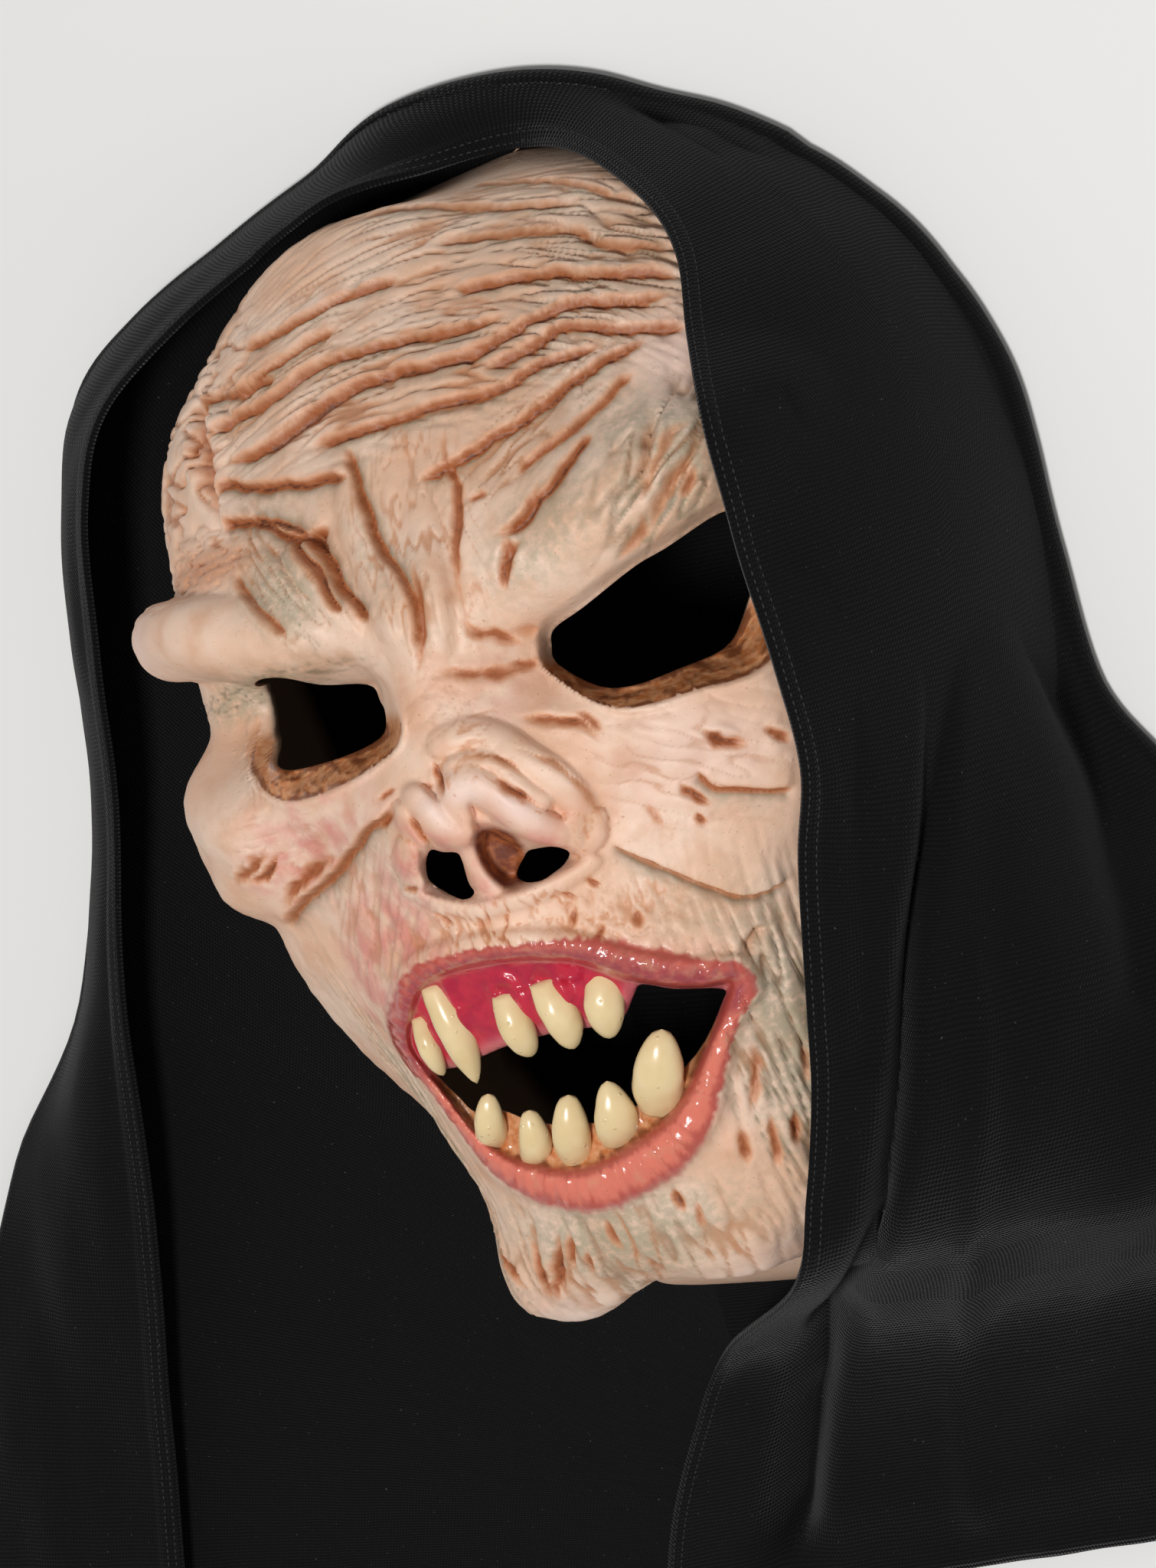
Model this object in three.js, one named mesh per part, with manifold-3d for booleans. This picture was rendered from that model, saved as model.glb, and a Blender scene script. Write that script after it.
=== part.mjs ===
// Hollow latex monster mask with an attached knitted hood, lying on its back.
// Millimetres, +Z up out of the face, +Y towards the crown, +X towards the wearer's left.
import * as THREE from "three";
import { mergeVertices } from "three/addons/utils/BufferGeometryUtils.js";
import Module from "manifold-3d";

// Driving sizes
const maskAt = { x: 39, y: 36.8, z: 2.3 }; // middle of the mask's rim plane in the part's frame
const maskTop = 117; // crown above the middle of the rim plane
const maskBottom = -138; // chin below it
const maskWall = 2.8; // latex
const rimReach = 157; // chart distance of the rim, a quarter turn from the face's middle
const clothThick = 2; // knit, doubled where it is turned
const clothGap = 2.4; // between the hood and what it lies on
const sightLean = [0.496, 0.122, 0.86]; // direction in which the low relief is pushed out
const gridFine = 4.4; // mesh step on the face
const gridCoarse = 13; // mesh step on the flanks
const faceHalf = [38, 50]; // half breadth and height of the finely meshed face
const latexColour = 0xe3bfa4;
const knitColour = 0x141414;

// Small helpers
const radians = (degrees) => (degrees * Math.PI) / 180;
const clamp = (x, lo, hi) => Math.min(hi, Math.max(lo, x));
const step = (x, lo, hi) => {
  const t = clamp((x - lo) / (hi - lo), 0, 1);
  return t * t * (3 - 2 * t);
};
const pick = (list, t) => {
  if (!Array.isArray(list)) return list;
  const s = clamp(t, 0, 1) * (list.length - 1);
  const i = Math.min(Math.floor(s), list.length - 2);
  return list[i] + (list[i + 1] - list[i]) * (s - i);
};

// A smooth curve y(x) through a few [x, y] pairs
function profile(pairs) {
  const slope = pairs.map((p, i) => {
    const lo = pairs[Math.max(i - 1, 0)];
    const hi = pairs[Math.min(i + 1, pairs.length - 1)];
    return (hi[1] - lo[1]) / (hi[0] - lo[0]);
  });
  return (x) => {
    const at = clamp(x, pairs[0][0], pairs[pairs.length - 1][0]);
    let i = 0;
    while (i < pairs.length - 2 && at > pairs[i + 1][0]) i += 1;
    const w = pairs[i + 1][0] - pairs[i][0];
    const t = (at - pairs[i][0]) / w;
    const value = (2 * t ** 3 - 3 * t ** 2 + 1) * pairs[i][1] + (t ** 3 - 2 * t ** 2 + t) * w * slope[i];
    return value + (3 * t ** 2 - 2 * t ** 3) * pairs[i + 1][1] + (t ** 3 - t ** 2) * w * slope[i + 1];
  };
}

// A curve of short straight pieces through a few points of any dimension
function spline(points, steps = 4, closed = false) {
  const n = points.length;
  const out = [];
  for (let i = 0; i < (closed ? n : n - 1); i += 1) {
    const p1 = points[i];
    const p2 = points[(i + 1) % n];
    const p0 = closed || i > 0 ? points[(i - 1 + n) % n] : p1.map((v, k) => 2 * v - p2[k]);
    const p3 = closed || i < n - 2 ? points[(i + 2) % n] : p2.map((v, k) => 2 * v - p1[k]);
    for (let k = 0; k < steps; k += 1) {
      const t = k / steps;
      out.push(p1.map((v, c) => {
        const square = (2 * p0[c] - 5 * v + 4 * p2[c] - p3[c]) * t * t;
        return 0.5 * (2 * v + (p2[c] - p0[c]) * t + square + (3 * v - p0[c] - 3 * p2[c] + p3[c]) * t ** 3);
      }));
    }
  }
  if (!closed) out.push(points[n - 1]);
  return out;
}

// Signed distance from a line (left of its run is positive) and the share of its length passed
function nearLine(a, b, line) {
  let best = 1e9;
  let side = 1;
  let passed = 0;
  let run = 0;
  for (let i = 0; i < line.length - 1; i += 1) {
    const [pa, pb] = line[i];
    const length = Math.max(Math.hypot(line[i + 1][0] - pa, line[i + 1][1] - pb), 1e-9);
    const ua = (line[i + 1][0] - pa) / length;
    const ub = (line[i + 1][1] - pb) / length;
    const t = clamp((a - pa) * ua + (b - pb) * ub, 0, length);
    const away = Math.hypot(a - pa - t * ua, b - pb - t * ub);
    if (away < best) {
      best = away;
      side = Math.sign(ua * (b - pb) - ub * (a - pa)) || 1;
      passed = run + t;
    }
    run += length;
  }
  return { d: best * side, s: passed / run };
}

// Distance from a closed outline, negative inside it
function loopDistance(a, b, loop) {
  const ring = [...loop, loop[0]];
  let within = false;
  for (let i = 0; i < loop.length; i += 1) {
    const [pa, pb] = ring[i];
    const [qa, qb] = ring[i + 1];
    if (pb > b !== qb > b && a < ((qa - pa) * (b - pb)) / (qb - pb) + pa) within = !within;
  }
  const d = Math.abs(nearLine(a, b, ring).d);
  return within ? -d : d;
}

// Head form: half width and depth at each height, joined by a superellipse section
const sectionPower = 2.4;
const depthAt = profile([
  [maskBottom, 0], [-134, 38], [-126, 64], [-112, 78], [-90, 84], [-60, 88], [-40, 93], [-15, 97],
  [20, 98], [40, 95], [60, 86], [78, 73], [95, 53], [108, 31], [maskTop, 0],
]);
const widthAt = profile([
  [maskBottom, 0], [-134, 26], [-126, 40], [-112, 50], [-90, 62], [-60, 75], [-30, 85], [0, 90],
  [30, 92], [60, 88], [85, 75], [102, 56], [112, 34], [maskTop, 0],
]);
function headLevel(x, y, z) {
  const row = clamp(y, maskBottom + 0.1, maskTop - 0.1);
  const w = Math.max(widthAt(row), 0.5);
  const d = Math.max(depthAt(row), 0.5);
  return (Math.abs(x) / w) ** sectionPower + (Math.max(z, 0) / d) ** sectionPower - 1 + Math.abs(y - row);
}

// The chart wraps the head: a runs to the wearer's left, b to the crown, about a millimetre a unit
function heading(a, b) {
  const rho = Math.hypot(a, b) / 100;
  const phi = Math.atan2(b, a);
  return new THREE.Vector3(Math.sin(rho) * Math.cos(phi), Math.sin(rho) * Math.sin(phi), Math.cos(rho));
}
function headPoint(a, b) {
  const way = heading(a, b);
  let lo = 0;
  let hi = 220;
  for (let i = 0; i < 30; i += 1) {
    const mid = (lo + hi) / 2;
    if (headLevel(way.x * mid, way.y * mid, way.z * mid) < 0) lo = mid;
    else hi = mid;
  }
  return way.multiplyScalar(lo);
}
function headNormal(a, b) {
  const e = 0.6;
  const alongA = headPoint(a + e, b).sub(headPoint(a - e, b));
  const alongB = headPoint(a, b + e).sub(headPoint(a, b - e));
  return alongA.cross(alongB).normalize();
}

// Broad forms, as heights along the head's normal
function bump(a, b, a0, b0, ra, rb, height, turn = 0, power = 1) {
  const c = Math.cos(radians(turn));
  const s = Math.sin(radians(turn));
  const u = ((a - a0) * c + (b - b0) * s) / ra;
  const v = (-(a - a0) * s + (b - b0) * c) / rb;
  return height * Math.exp(-((u * u + v * v) ** power));
}
const pairedForms = [
  [24, 23, 9, 8, -11], // inner corner of the eye
  [61, 22, 12, 10, -11], // outer corner
  [44, 4, 24, 9, 5], // bag under the eye
  [64, -52, 14, 30, -5], // hollow cheek
];
const singleForms = [
  [0, -6, 25, 20, 11, 0, 1.5], // snout
  [0, -35, 36, 13, 5], // upper lip mound
  [-2, -58, 50, 30, 6, 0, 2], // mouth mound
  [-6, -95, 24, 12, 3], // chin
  [-29, -103, 13, 11, 13], // far chin lump
  [11, -99, 12, 9, 4], // near chin lump
  [-2, -125, 32, 28, -16, 0, 1.5], // hollow under the jaw
  [1, -119, 9, 12, -4.5], // notch beside the chin
  [42, 50, 30, 15, 6, 12, 1.5], // near brow
  [-44, 42, 26, 14, 5, -6, 1.4], // far brow
  [56, -14, 22, 18, 3], // near cheekbone
  [-78, 82, 26, 26, 6], // far temple
  [-44, 124, 39, 26.5, 9], // crown
  [-75, -3, 24, 20, 12, 0, 2.4], // far cheek pad
  [-72, -50, 19, 32, 7, 0, 1.7], // far jowl
];
function broadForm(a, b) {
  let h = 6.5 * Math.exp(-((a / 10.5) ** 2)) * step(b, 2, 20) * (1 - step(b, 34, 54)); // nose bridge
  for (const [a0, ...rest] of pairedForms) h += bump(a, b, a0, ...rest) + bump(a, b, -a0, ...rest);
  for (const form of singleForms) h += bump(a, b, ...form);
  return h;
}

// Relief is laid out as it is seen along sightLean, so a raised place moves its relief sideways and up or down
const sightRise = profile([
  [-160, -0.42], [-100, -0.42], [-60, -0.39], [-20, -0.31], [0, -0.22], [20, -0.06], [40, 0.17], [60, 0.42],
  [80, 0.69], [150, 1.1],
]);
const towardsSight = (a, b, h) => [a - h * Math.tan(radians(clamp(30 - 0.5 * a, -12, 62))), b + h * sightRise(b)];

const nearEye = spline([
  [67.6, 19.5], [61, 14.6], [50.5, 13.2], [41.5, 12.4], [34.5, 14], [27, 20.6], [28, 27], [40, 32.8],
  [53.2, 37.4], [64, 41.6], [69, 41], [71.5, 26],
], 4, true);
const farEye = spline([
  [-13.6, 21], [-15.4, 15], [-24.6, 12.1], [-40.3, 10.8], [-51, 13.6], [-50.7, 22], [-47.5, 29.8],
  [-36.5, 29.6], [-27.4, 26.6], [-15.2, 24.6],
], 4, true);
const farNostril = spline([
  [-13.2, -11], [-7.6, -12.6], [-7, -18], [-6.6, -22], [-11.5, -22.4], [-16, -18.6], [-15.4, -13],
], 4, true);
const nearNostril = spline([[10, -15.6], [17.8, -17.6], [12.7, -21.5], [4.8, -21.4], [7.4, -17.4]], 4, true);
const lipRim = spline([
  [-41.6, -53.5], [-34, -43.5], [-27.9, -39], [-18.7, -37], [-3.4, -37.2], [9.9, -40.2], [18.8, -45.9],
  [31.9, -52.2], [37.2, -55], [26.1, -66.3], [16.6, -73.8], [5.3, -77.6], [-7.9, -79.8], [-21.1, -77.8],
  [-30.3, -73.5], [-37.5, -63.5],
], 3, true);
const mouthHole = spline([
  [-36.8, -59.7], [-24, -57.5], [-12.4, -55.5], [0.1, -54.8], [14.4, -54.5], [21.2, -48.6], [26.8, -51.2],
  [35.4, -54.4], [29, -62.5], [17.7, -68.5], [4.7, -72.2], [-11.8, -73], [-25.8, -68.5], [-33, -66],
], 3, true);
const snoutBasin = spline([
  [-17, -10], [0, -8], [18, -15], [19, -19], [12, -23.5], [2, -25], [-8, -25.5], [-16, -22.5], [-19, -16],
], 3, true);
const holes = [nearEye, farEye, farNostril, nearNostril, mouthHole];

// A roll of flesh along a line: its round top stands out of what is there already
function roll(a, b, ground, line, radius, top, blend) {
  const { d, s } = nearLine(a, b, line);
  if (Math.abs(d) > 18) return ground;
  const r = pick(radius, s);
  const q = Math.abs(d) / r;
  const height = pick(top, s) - r * (1 - Math.sqrt(Math.max(1 - Math.min(q, 1) ** 2, 0))) - Math.max(q - 1, 0) * r * 3;
  const apart = Math.abs(height - ground);
  return Math.max(height, ground) + (apart < blend ? (blend - apart) ** 2 / (4 * blend) : 0);
}
const browRoll = spline([[-16, 31], [-30, 36], [-46, 38.5], [-62, 40.5], [-74, 41.6], [-80, 42]]);
const snoutRolls = [
  { line: [[-2, -0.5], [1.3, -3.6], [5, -7], [8.7, -10], [12.5, -12.4], [15.6, -13.4]], radius: [6.5, 5, 4, 3.4], top: [6, 5, 4.4, 3.4] },
  { line: [[-3.5, -0.5], [0, 0], [3, -0.8]], radius: 5.2, top: 6.2 },
  { line: [[-12.6, -1.5], [-9.6, -5], [-6, -7.6], [-3.5, -8]], radius: [4.8, 5.6, 5, 3.4], top: [5, 5.8, 5.4, 4] },
  { line: [[-18, -2.5], [-18.2, -7], [-20, -13.5], [-20.6, -17]], radius: 3.5, top: [3, 3.4, 3, 2] },
  { line: [[18.4, -12.5], [19, -16.5]], radius: 3.2, top: [3.2, 2.6] },
  { line: [[-5, 4.6], [3.6, 4.9], [11, 0.4], [17.6, -5.6], [23, -11], [23.6, -17.4]], radius: [1.7, 2.4, 3.4, 2.4], top: [3.8, 3.6, 3.2, 1.6] },
  { line: [[-3.9, -11.5], [-3.1, -20], [-2.2, -23.4]], radius: [2.6, 3.2], top: [-1.5, -2.6, -1.6] },
  { line: [[-21.8, -18.5], [-16.2, -24.9], [-3, -25.8], [6.4, -26.2], [16.8, -23], [21.5, -20.8]], radius: 2, top: 1.8 },
].map((r) => ({ ...r, line: spline(r.line, 3) }));

function lowRelief(a, b) {
  let h = 0;
  for (const [loop, low, band] of [[nearEye, 24, 7.5], [farEye, 20, 8]]) {
    const under = 1 - step(b, low - 6, low + 3);
    const t = clamp(loopDistance(a, b, loop) / (3.2 + under * (band - 3.2)), 0, 1);
    h -= (6.5 + under) * (1 - step(t, 0, 1));
  }
  h = roll(a, b, h, browRoll, [6, 8, 9, 9.5, 8.7, 8.7], [2, 4, 6, 8.5, 10, 11.5], 3);
  h -= 9 * (1 - step(loopDistance(a, b, snoutBasin), -2.5, 1.5));
  for (const r of snoutRolls) h = roll(a, b, h, r.line, r.radius, r.top, 0.8);
  const d = loopDistance(a, b, lipRim);
  const lower = 1 - step(b + 0.12 * Math.abs(a), -60, -52);
  const swell = 3.2 + 1.6 * lower;
  const rise = Math.exp(-((0.42 / 0.52) ** 2));
  if (d > 0) h += swell * Math.exp(-(((clamp(d / (5.5 + 2 * lower), 0, 3) - 0.42) / 0.52) ** 2));
  else h += swell * rise - 6.5 * (1 - Math.exp(d / 1.1));
  return h + bump(a, b, 33, -44, 12, 9, 2.5, -20); // flap of the upper lip
}

// Furrows: the skin above each line hangs over it; up is on the left of the line's run
const furrows = [
  { line: [[51, 116], [42, 122], [25.6, 132], [-6, 144]], deep: 1 },
  { line: [[38, 120], [21.5, 124.5], [-5, 132.7], [-36, 134]], deep: 1.3 },
  { line: [[62, 100.6], [48, 104], [38.7, 110.5], [17.8, 117.7], [-4.7, 122]], deep: 1.8 },
  { line: [[62, 93.4], [48.6, 96.5], [29.5, 103.7], [4.8, 107]], deep: 2.2 },
  { line: [[-8.7, 113.5], [-23, 112], [-40, 107], [-60, 103.5]], deep: 1.5 },
  { line: [[-24.6, 103], [-38, 99], [-55.8, 92]], deep: 1.7 },
  { line: [[25, 93], [3.7, 94.8], [-15, 94.7], [-30.5, 94], [-46, 88], [-62.6, 85]], deep: 2.4 },
  { line: [[63, 89], [46, 92], [28, 91], [10, 87], [-6.5, 88], [-21, 85], [-35, 79], [-53, 77.7]], deep: 2.6 },
  { line: [[63, 82], [44.5, 85], [32, 87], [15.8, 83]], deep: 2.2 },
  { line: [[47, 82], [31, 81], [15, 78], [-7, 77.4], [-28, 75.8]], deep: 2 },
  { line: [[54, 82], [41, 76.5], [30, 71], [20, 67.6], [0, 63]], deep: 2 },
  { line: [[41, 64], [32.5, 55], [21, 47.4]], deep: 2 },
  { line: [[-13.4, 67], [-32, 68], [-55, 71]], deep: 2.2 },
  { line: [[-19, 58.5], [-31, 57.5], [-44.5, 63.5], [-54, 62]], deep: 2.4 },
  { line: [[-12.6, 36], [-17, 44.5], [-22, 51.7], [-26, 58]], deep: 3 },
  { line: [[-2.9, 28], [-1.5, 39], [-8, 52], [-14, 67], [-17, 75]], deep: 2 },
  { line: [[59, -38], [48.7, -37.5], [39, -29.5], [31, -23.5], [25.7, -17.5]], deep: 2.6 },
  { line: [[66, -18.8], [54, -14.6], [48, -7.3]], deep: 2 },
  { line: [[-17, 1.2], [-30, -5], [-45, -14], [-63.5, -20.7], [-76, -27]], deep: 3 },
].map((f) => ({ ...f, line: spline(f.line, 3) }));
function furrowDepth(a, b) {
  let h = 0;
  for (const { line, deep } of furrows) {
    const { d, s } = nearLine(a, b, line);
    const ends = step(s, 0, 0.15) * (1 - step(s, 0.85, 1));
    const hang = d > 0 ? 0.7 * Math.exp(-d / 5) : -0.6 * Math.exp(-((d / 2.8) ** 2));
    if (Math.abs(d) < 14) h += deep * ends * hang;
  }
  return h;
}

// Relief evened out over the mesh step, so that no edge falls between two corners
const evened = (relief, a, b) => {
  let sum = 2 * relief(a, b);
  for (const u of [-1, 1]) for (const v of [-1, 1]) sum += relief(a + (u * gridFine) / 2.6, b + (v * gridFine) / 2.6);
  return sum / 6;
};

// One point of the casting's outer face, with the way in which its wall lies
function facePoint(a, b) {
  const edge = 1 - step(Math.hypot(a, b), 125, 152);
  const broad = broadForm(a, b) * edge;
  const [sa, sb] = towardsSight(a, b, broad);
  const normal = headNormal(a, b);
  const away = clamp(step(-a, 42, 62) + step(a, 62, 75) + step(Math.hypot(a, b), 95, 125), 0, 1);
  const push = new THREE.Vector3(...sightLean).multiplyScalar(1 - away).addScaledVector(normal, away);
  const outer = headPoint(a, b);
  outer.addScaledVector(normal, broad + evened(furrowDepth, sa, sb) * edge);
  outer.addScaledVector(push, evened(lowRelief, sa, sb) * edge);
  return { outer, push: push.normalize() };
}
function holeLevel(a, b) {
  const edge = 1 - step(Math.hypot(a, b), 125, 152);
  const [sa, sb] = towardsSight(a, b, broadForm(a, b) * edge);
  return Math.min(rimReach - Math.hypot(a, b), ...holes.map((loop) => loopDistance(sa, sb, loop)));
}

// Stations of a graded grid, close together within core
function stations(core) {
  const half = [0];
  while (half[half.length - 1] < rimReach + 6) {
    const at = half[half.length - 1];
    half.push(at + gridFine + (gridCoarse - gridFine) * step(at, core, core * 1.6));
  }
  return [...half.slice(1).reverse().map((v) => -v), ...half];
}

// Grid over the chart: corners near an outline are drawn onto it, cells across it are cut there
function chartMesh() {
  const across = stations(faceHalf[0]);
  const up = stations(faceHalf[1]);
  const row = across.length;
  const corners = up.flatMap((b) => across.map((a) => settle(a, b)));
  const cuts = new Map();
  const cutBetween = (p, q) => {
    const key = p < q ? `${p} ${q}` : `${q} ${p}`;
    if (!cuts.has(key)) {
      let [inside, outside] = corners[p].level > 0 ? [corners[p], corners[q]] : [corners[q], corners[p]];
      for (let k = 0; k < 12; k += 1) {
        const mid = { a: (inside.a + outside.a) / 2, b: (inside.b + outside.b) / 2 };
        mid.level = holeLevel(mid.a, mid.b);
        if (mid.level > 0) inside = mid;
        else outside = mid;
      }
      cuts.set(key, corners.push({ a: inside.a, b: inside.b, level: 0 }) - 1);
    }
    return cuts.get(key);
  };
  const faces = [];
  for (let j = 0; j < up.length - 1; j += 1) {
    for (let i = 0; i < row - 1; i += 1) {
      const cell = [j * row + i, j * row + i + 1, (j + 1) * row + i + 1, (j + 1) * row + i];
      if (!cell.some((k) => corners[k].level > 0)) continue;
      const ring = [];
      cell.forEach((p, k) => {
        const q = cell[(k + 1) % 4];
        if (corners[p].level >= 0) ring.push(p);
        if (corners[p].level * corners[q].level < 0) ring.push(cutBetween(p, q));
      });
      for (let k = 1; k < ring.length - 1; k += 1) faces.push([ring[0], ring[k], ring[k + 1]]);
    }
  }
  return { corners, faces };
}
function settle(a0, b0) {
  let a = a0;
  let b = b0;
  let level = holeLevel(a, b);
  if (Math.abs(level) >= 0.4 * gridFine) return { a, b, level };
  const e = 0.05;
  for (let k = 0; k < 4; k += 1) {
    const ga = (holeLevel(a + e, b) - level) / e;
    const gb = (holeLevel(a, b + e) - level) / e;
    const pull = level / Math.max(ga * ga + gb * gb, 0.05);
    a -= pull * ga;
    b -= pull * gb;
    level = holeLevel(a, b);
  }
  return Math.hypot(a - a0, b - b0) < 0.45 * gridFine ? { a, b, level: 0 } : { a: a0, b: b0, level: holeLevel(a0, b0) };
}

// A sheet of triangles given a second side and closed along its borders
function closedShell(outer, inner, faces) {
  const position = [];
  for (const v of [...outer, ...inner]) position.push(v.x, v.y, v.z);
  const n = outer.length;
  const index = [];
  const border = new Map();
  for (const face of faces) {
    index.push(...face, face[0] + n, face[2] + n, face[1] + n);
    for (let k = 0; k < 3; k += 1) {
      const p = face[k];
      const q = face[(k + 1) % 3];
      if (border.has(`${q} ${p}`)) border.delete(`${q} ${p}`);
      else border.set(`${p} ${q}`, [p, q]);
    }
  }
  for (const [p, q] of border.values()) index.push(q, p, p + n, q, p + n, q + n);
  const geometry = new THREE.BufferGeometry();
  geometry.setAttribute("position", new THREE.Float32BufferAttribute(position, 3));
  geometry.setIndex(index);
  return geometry;
}

function castingShell() {
  const { corners, faces } = chartMesh();
  const used = [...new Set(faces.flat())].sort((p, q) => p - q);
  const renumber = new Map(used.map((k, i) => [k, i]));
  const outer = [];
  const inner = [];
  for (const k of used) {
    const { a, b } = corners[k];
    const point = facePoint(a, b);
    const onRim = Math.hypot(a, b) > rimReach - 0.5;
    if (onRim) point.outer.z = 0;
    const back = point.outer.clone().addScaledVector(point.push, -maskWall);
    if (onRim) back.z = 0;
    outer.push(point.outer);
    inner.push(back);
  }
  return closedShell(outer, inner, faces.map((f) => f.map((k) => renumber.get(k))));
}

// Teeth: blunt cones, a little flat, from root to tip in chart places, depth measured from the head form
const teeth = [
  { root: [-33.6, -46], tip: [-34.6, -60.8], width: 4.8 },
  { root: [-25.6, -40.6], tip: [-26.4, -62.8], width: 7.4 },
  { root: [-8.9, -44], tip: [-10.3, -58.8], width: 7.6 },
  { root: [1.5, -43.4], tip: [0.3, -58.8], width: 8.2 },
  { root: [16.2, -43.6], tip: [9.2, -58], width: 8.2 },
  { root: [-26.9, -74.2], tip: [-24.4, -65], width: 6 },
  { root: [-18.1, -77], tip: [-15.5, -69], width: 6.2 },
  { root: [-8.2, -78.2], tip: [-5.4, -67.6], width: 7.4 },
  { root: [2.3, -76.4], tip: [4.5, -66.4], width: 8.4 },
  { root: [13.7, -73], tip: [20.5, -58.6], width: 10 },
];
const toothSides = 8;
const toothSwell = [[0, 0.62], [0.3, 1], [0.65, 0.88], [0.92, 0.42]]; // share of half width along the tooth
function toothGeometry({ root, tip, width }) {
  const sight = new THREE.Vector3(...sightLean);
  const place = ([a, b], lift) => headPoint(a, b).addScaledVector(sight, lift);
  const foot = place(root, 0.5);
  const end = place(tip, 3.2);
  const along = end.clone().sub(foot);
  const acrossWay = along.clone().cross(sight).normalize();
  const outWay = acrossWay.clone().cross(along).normalize();
  const position = [...foot.toArray()];
  for (const [t, share] of toothSwell) {
    for (let k = 0; k < toothSides; k += 1) {
      const angle = (2 * Math.PI * k) / toothSides;
      const v = foot.clone().addScaledVector(along, t);
      v.addScaledVector(acrossWay, (Math.cos(angle) * share * width) / 2);
      v.addScaledVector(outWay, Math.sin(angle) * share * width * 0.4);
      position.push(...v.toArray());
    }
  }
  position.push(...end.toArray());
  const index = [];
  const last = position.length / 3 - 1;
  const rings = toothSwell.length;
  for (let k = 0; k < toothSides; k += 1) {
    const next = (k + 1) % toothSides;
    index.push(0, 1 + k, 1 + next);
    for (let r = 0; r < rings - 1; r += 1) {
      const p = 1 + r * toothSides;
      index.push(p + k, p + toothSides + next, p + next, p + k, p + toothSides + k, p + toothSides + next);
    }
    const p = 1 + (rings - 1) * toothSides;
    index.push(p + k, last, p + next);
  }
  const geometry = new THREE.BufferGeometry();
  geometry.setAttribute("position", new THREE.Float32BufferAttribute(position, 3));
  geometry.setIndex(index);
  return geometry;
}

// Hood: a collapsed bag. Each row runs from the face hem over the mask's side to the fold on the floor
// and back under the mask. A hem with two numbers lies on the mask at that chart place.
const hoodRows = [
  { hem: [-65, -208, 13], fold: [176, -206] },
  { hem: [-54, -186, 17], fold: [168, -184] },
  { hem: [-38, -163, 22], fold: [158, -162] },
  { hem: [-20, -144, 31], fold: [149, -142] },
  { hem: [19, -103.5], fold: [141, -124] },
  { hem: [31, -90], fold: [133, -106] },
  { hem: [41, -76], fold: [124, -90] },
  { hem: [48, -62], fold: [117, -72] },
  { hem: [59.2, -34], fold: [107, -46] },
  { hem: [66, -14], fold: [98, -22] },
  { hem: [66.5, 8], fold: [97, 6] },
  { hem: [64.5, 32], fold: [97, 31] },
  { hem: [61, 54], fold: [94.3, 52] },
  { hem: [60, 76], fold: [86, 74.5] },
  { hem: [58, 96], fold: [74, 92] },
  { hem: [49.5, 113], fold: [56.5, 107.5] },
  { hem: [29, 135], fold: [33, 121] },
  { hem: [6, 147], fold: [5, 129.5] },
  { hem: [-16, 142], fold: [-25, 130] },
  { hem: [-32, 127], fold: [-50, 122] },
  { hem: [-52, 110, 33], fold: [-75, 114] },
  { hem: [-72, 101, 39], fold: [-101, 104] },
  { hem: [-95, 87, 41], fold: [-122, 89] },
  { hem: [-108, 68, 39], fold: [-132, 68] },
  { hem: [-119, 38, 34], fold: [-142, 36] },
  { hem: [-130, 2, 29], fold: [-151, -1] },
  { hem: [-148, -42, 23], fold: [-171, -45] },
  { hem: [-162, -92, 17], fold: [-206, -85] },
  { hem: [-180, -146, 11], fold: [-234, -138] },
  { hem: [-198, -208, 8], fold: [-254, -204] },
];
const seatClear = clothGap + clothThick / 2;
const backLevel = clothThick / 2; // middle of the cloth under the mask
const foldLift = 5.2; // of the side's foot above it
const foldNose = 1.5; // by which the fold stands out beyond the foot
const around = [[0, 0], [5, 0], [-5, 0], [0, 5], [0, -5]]; // chart places looked at for the highest relief
function clearOfMask(point, clear) {
  const r = point.length();
  const rho = Math.acos(clamp(point.z / r, 0, 1)) * 100;
  const phi = Math.atan2(point.y, point.x);
  const a = rho * Math.cos(phi);
  const b = rho * Math.sin(phi);
  const relief = Math.max(...around.map(([u, v]) => facePoint(a + u, b + v).outer.length() - headPoint(a + u, b + v).length()));
  const least = headPoint(a, b).length() + relief + clear;
  return r < least ? point.multiplyScalar(least / r) : point;
}
function hoodEnds() {
  const ends = hoodRows.map(({ hem, fold }) => {
    const onMask = hem.length === 2;
    const h = onMask ? clearOfMask(headPoint(...hem), seatClear) : new THREE.Vector3(...hem);
    return [h.x, h.y, h.z, ...fold];
  });
  return spline(ends, 2);
}
function bandGeometry(rows) {
  const shares = [0, 0.17, 0.4, 0.7, 1]; // from hem to fold
  const sheet = rows.map(([hx, hy, hz, fx, fy]) => {
    const out = new THREE.Vector3(fx - hx, fy - hy, 0).normalize();
    const row = shares.map((t) => {
      const bow = Math.sin(Math.PI * t) * 0.12;
      const level = hz + (backLevel + foldLift - hz) * t + hz * bow;
      const p = new THREE.Vector3(hx + (fx - hx) * (t + bow / 2), hy + (fy - hy) * (t + bow / 2), level);
      return t < 1 ? clearOfMask(p, seatClear * (t > 0 ? 1.2 : 1)) : p;
    });
    const foot = row[row.length - 1];
    row.push(foot.clone().addScaledVector(out, foldNose).setZ(backLevel + foldLift / 2));
    row.push(foot.clone().addScaledVector(out, -0.5).setZ(backLevel));
    return row;
  });
  return sheetSolid(sheet);
}
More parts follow.
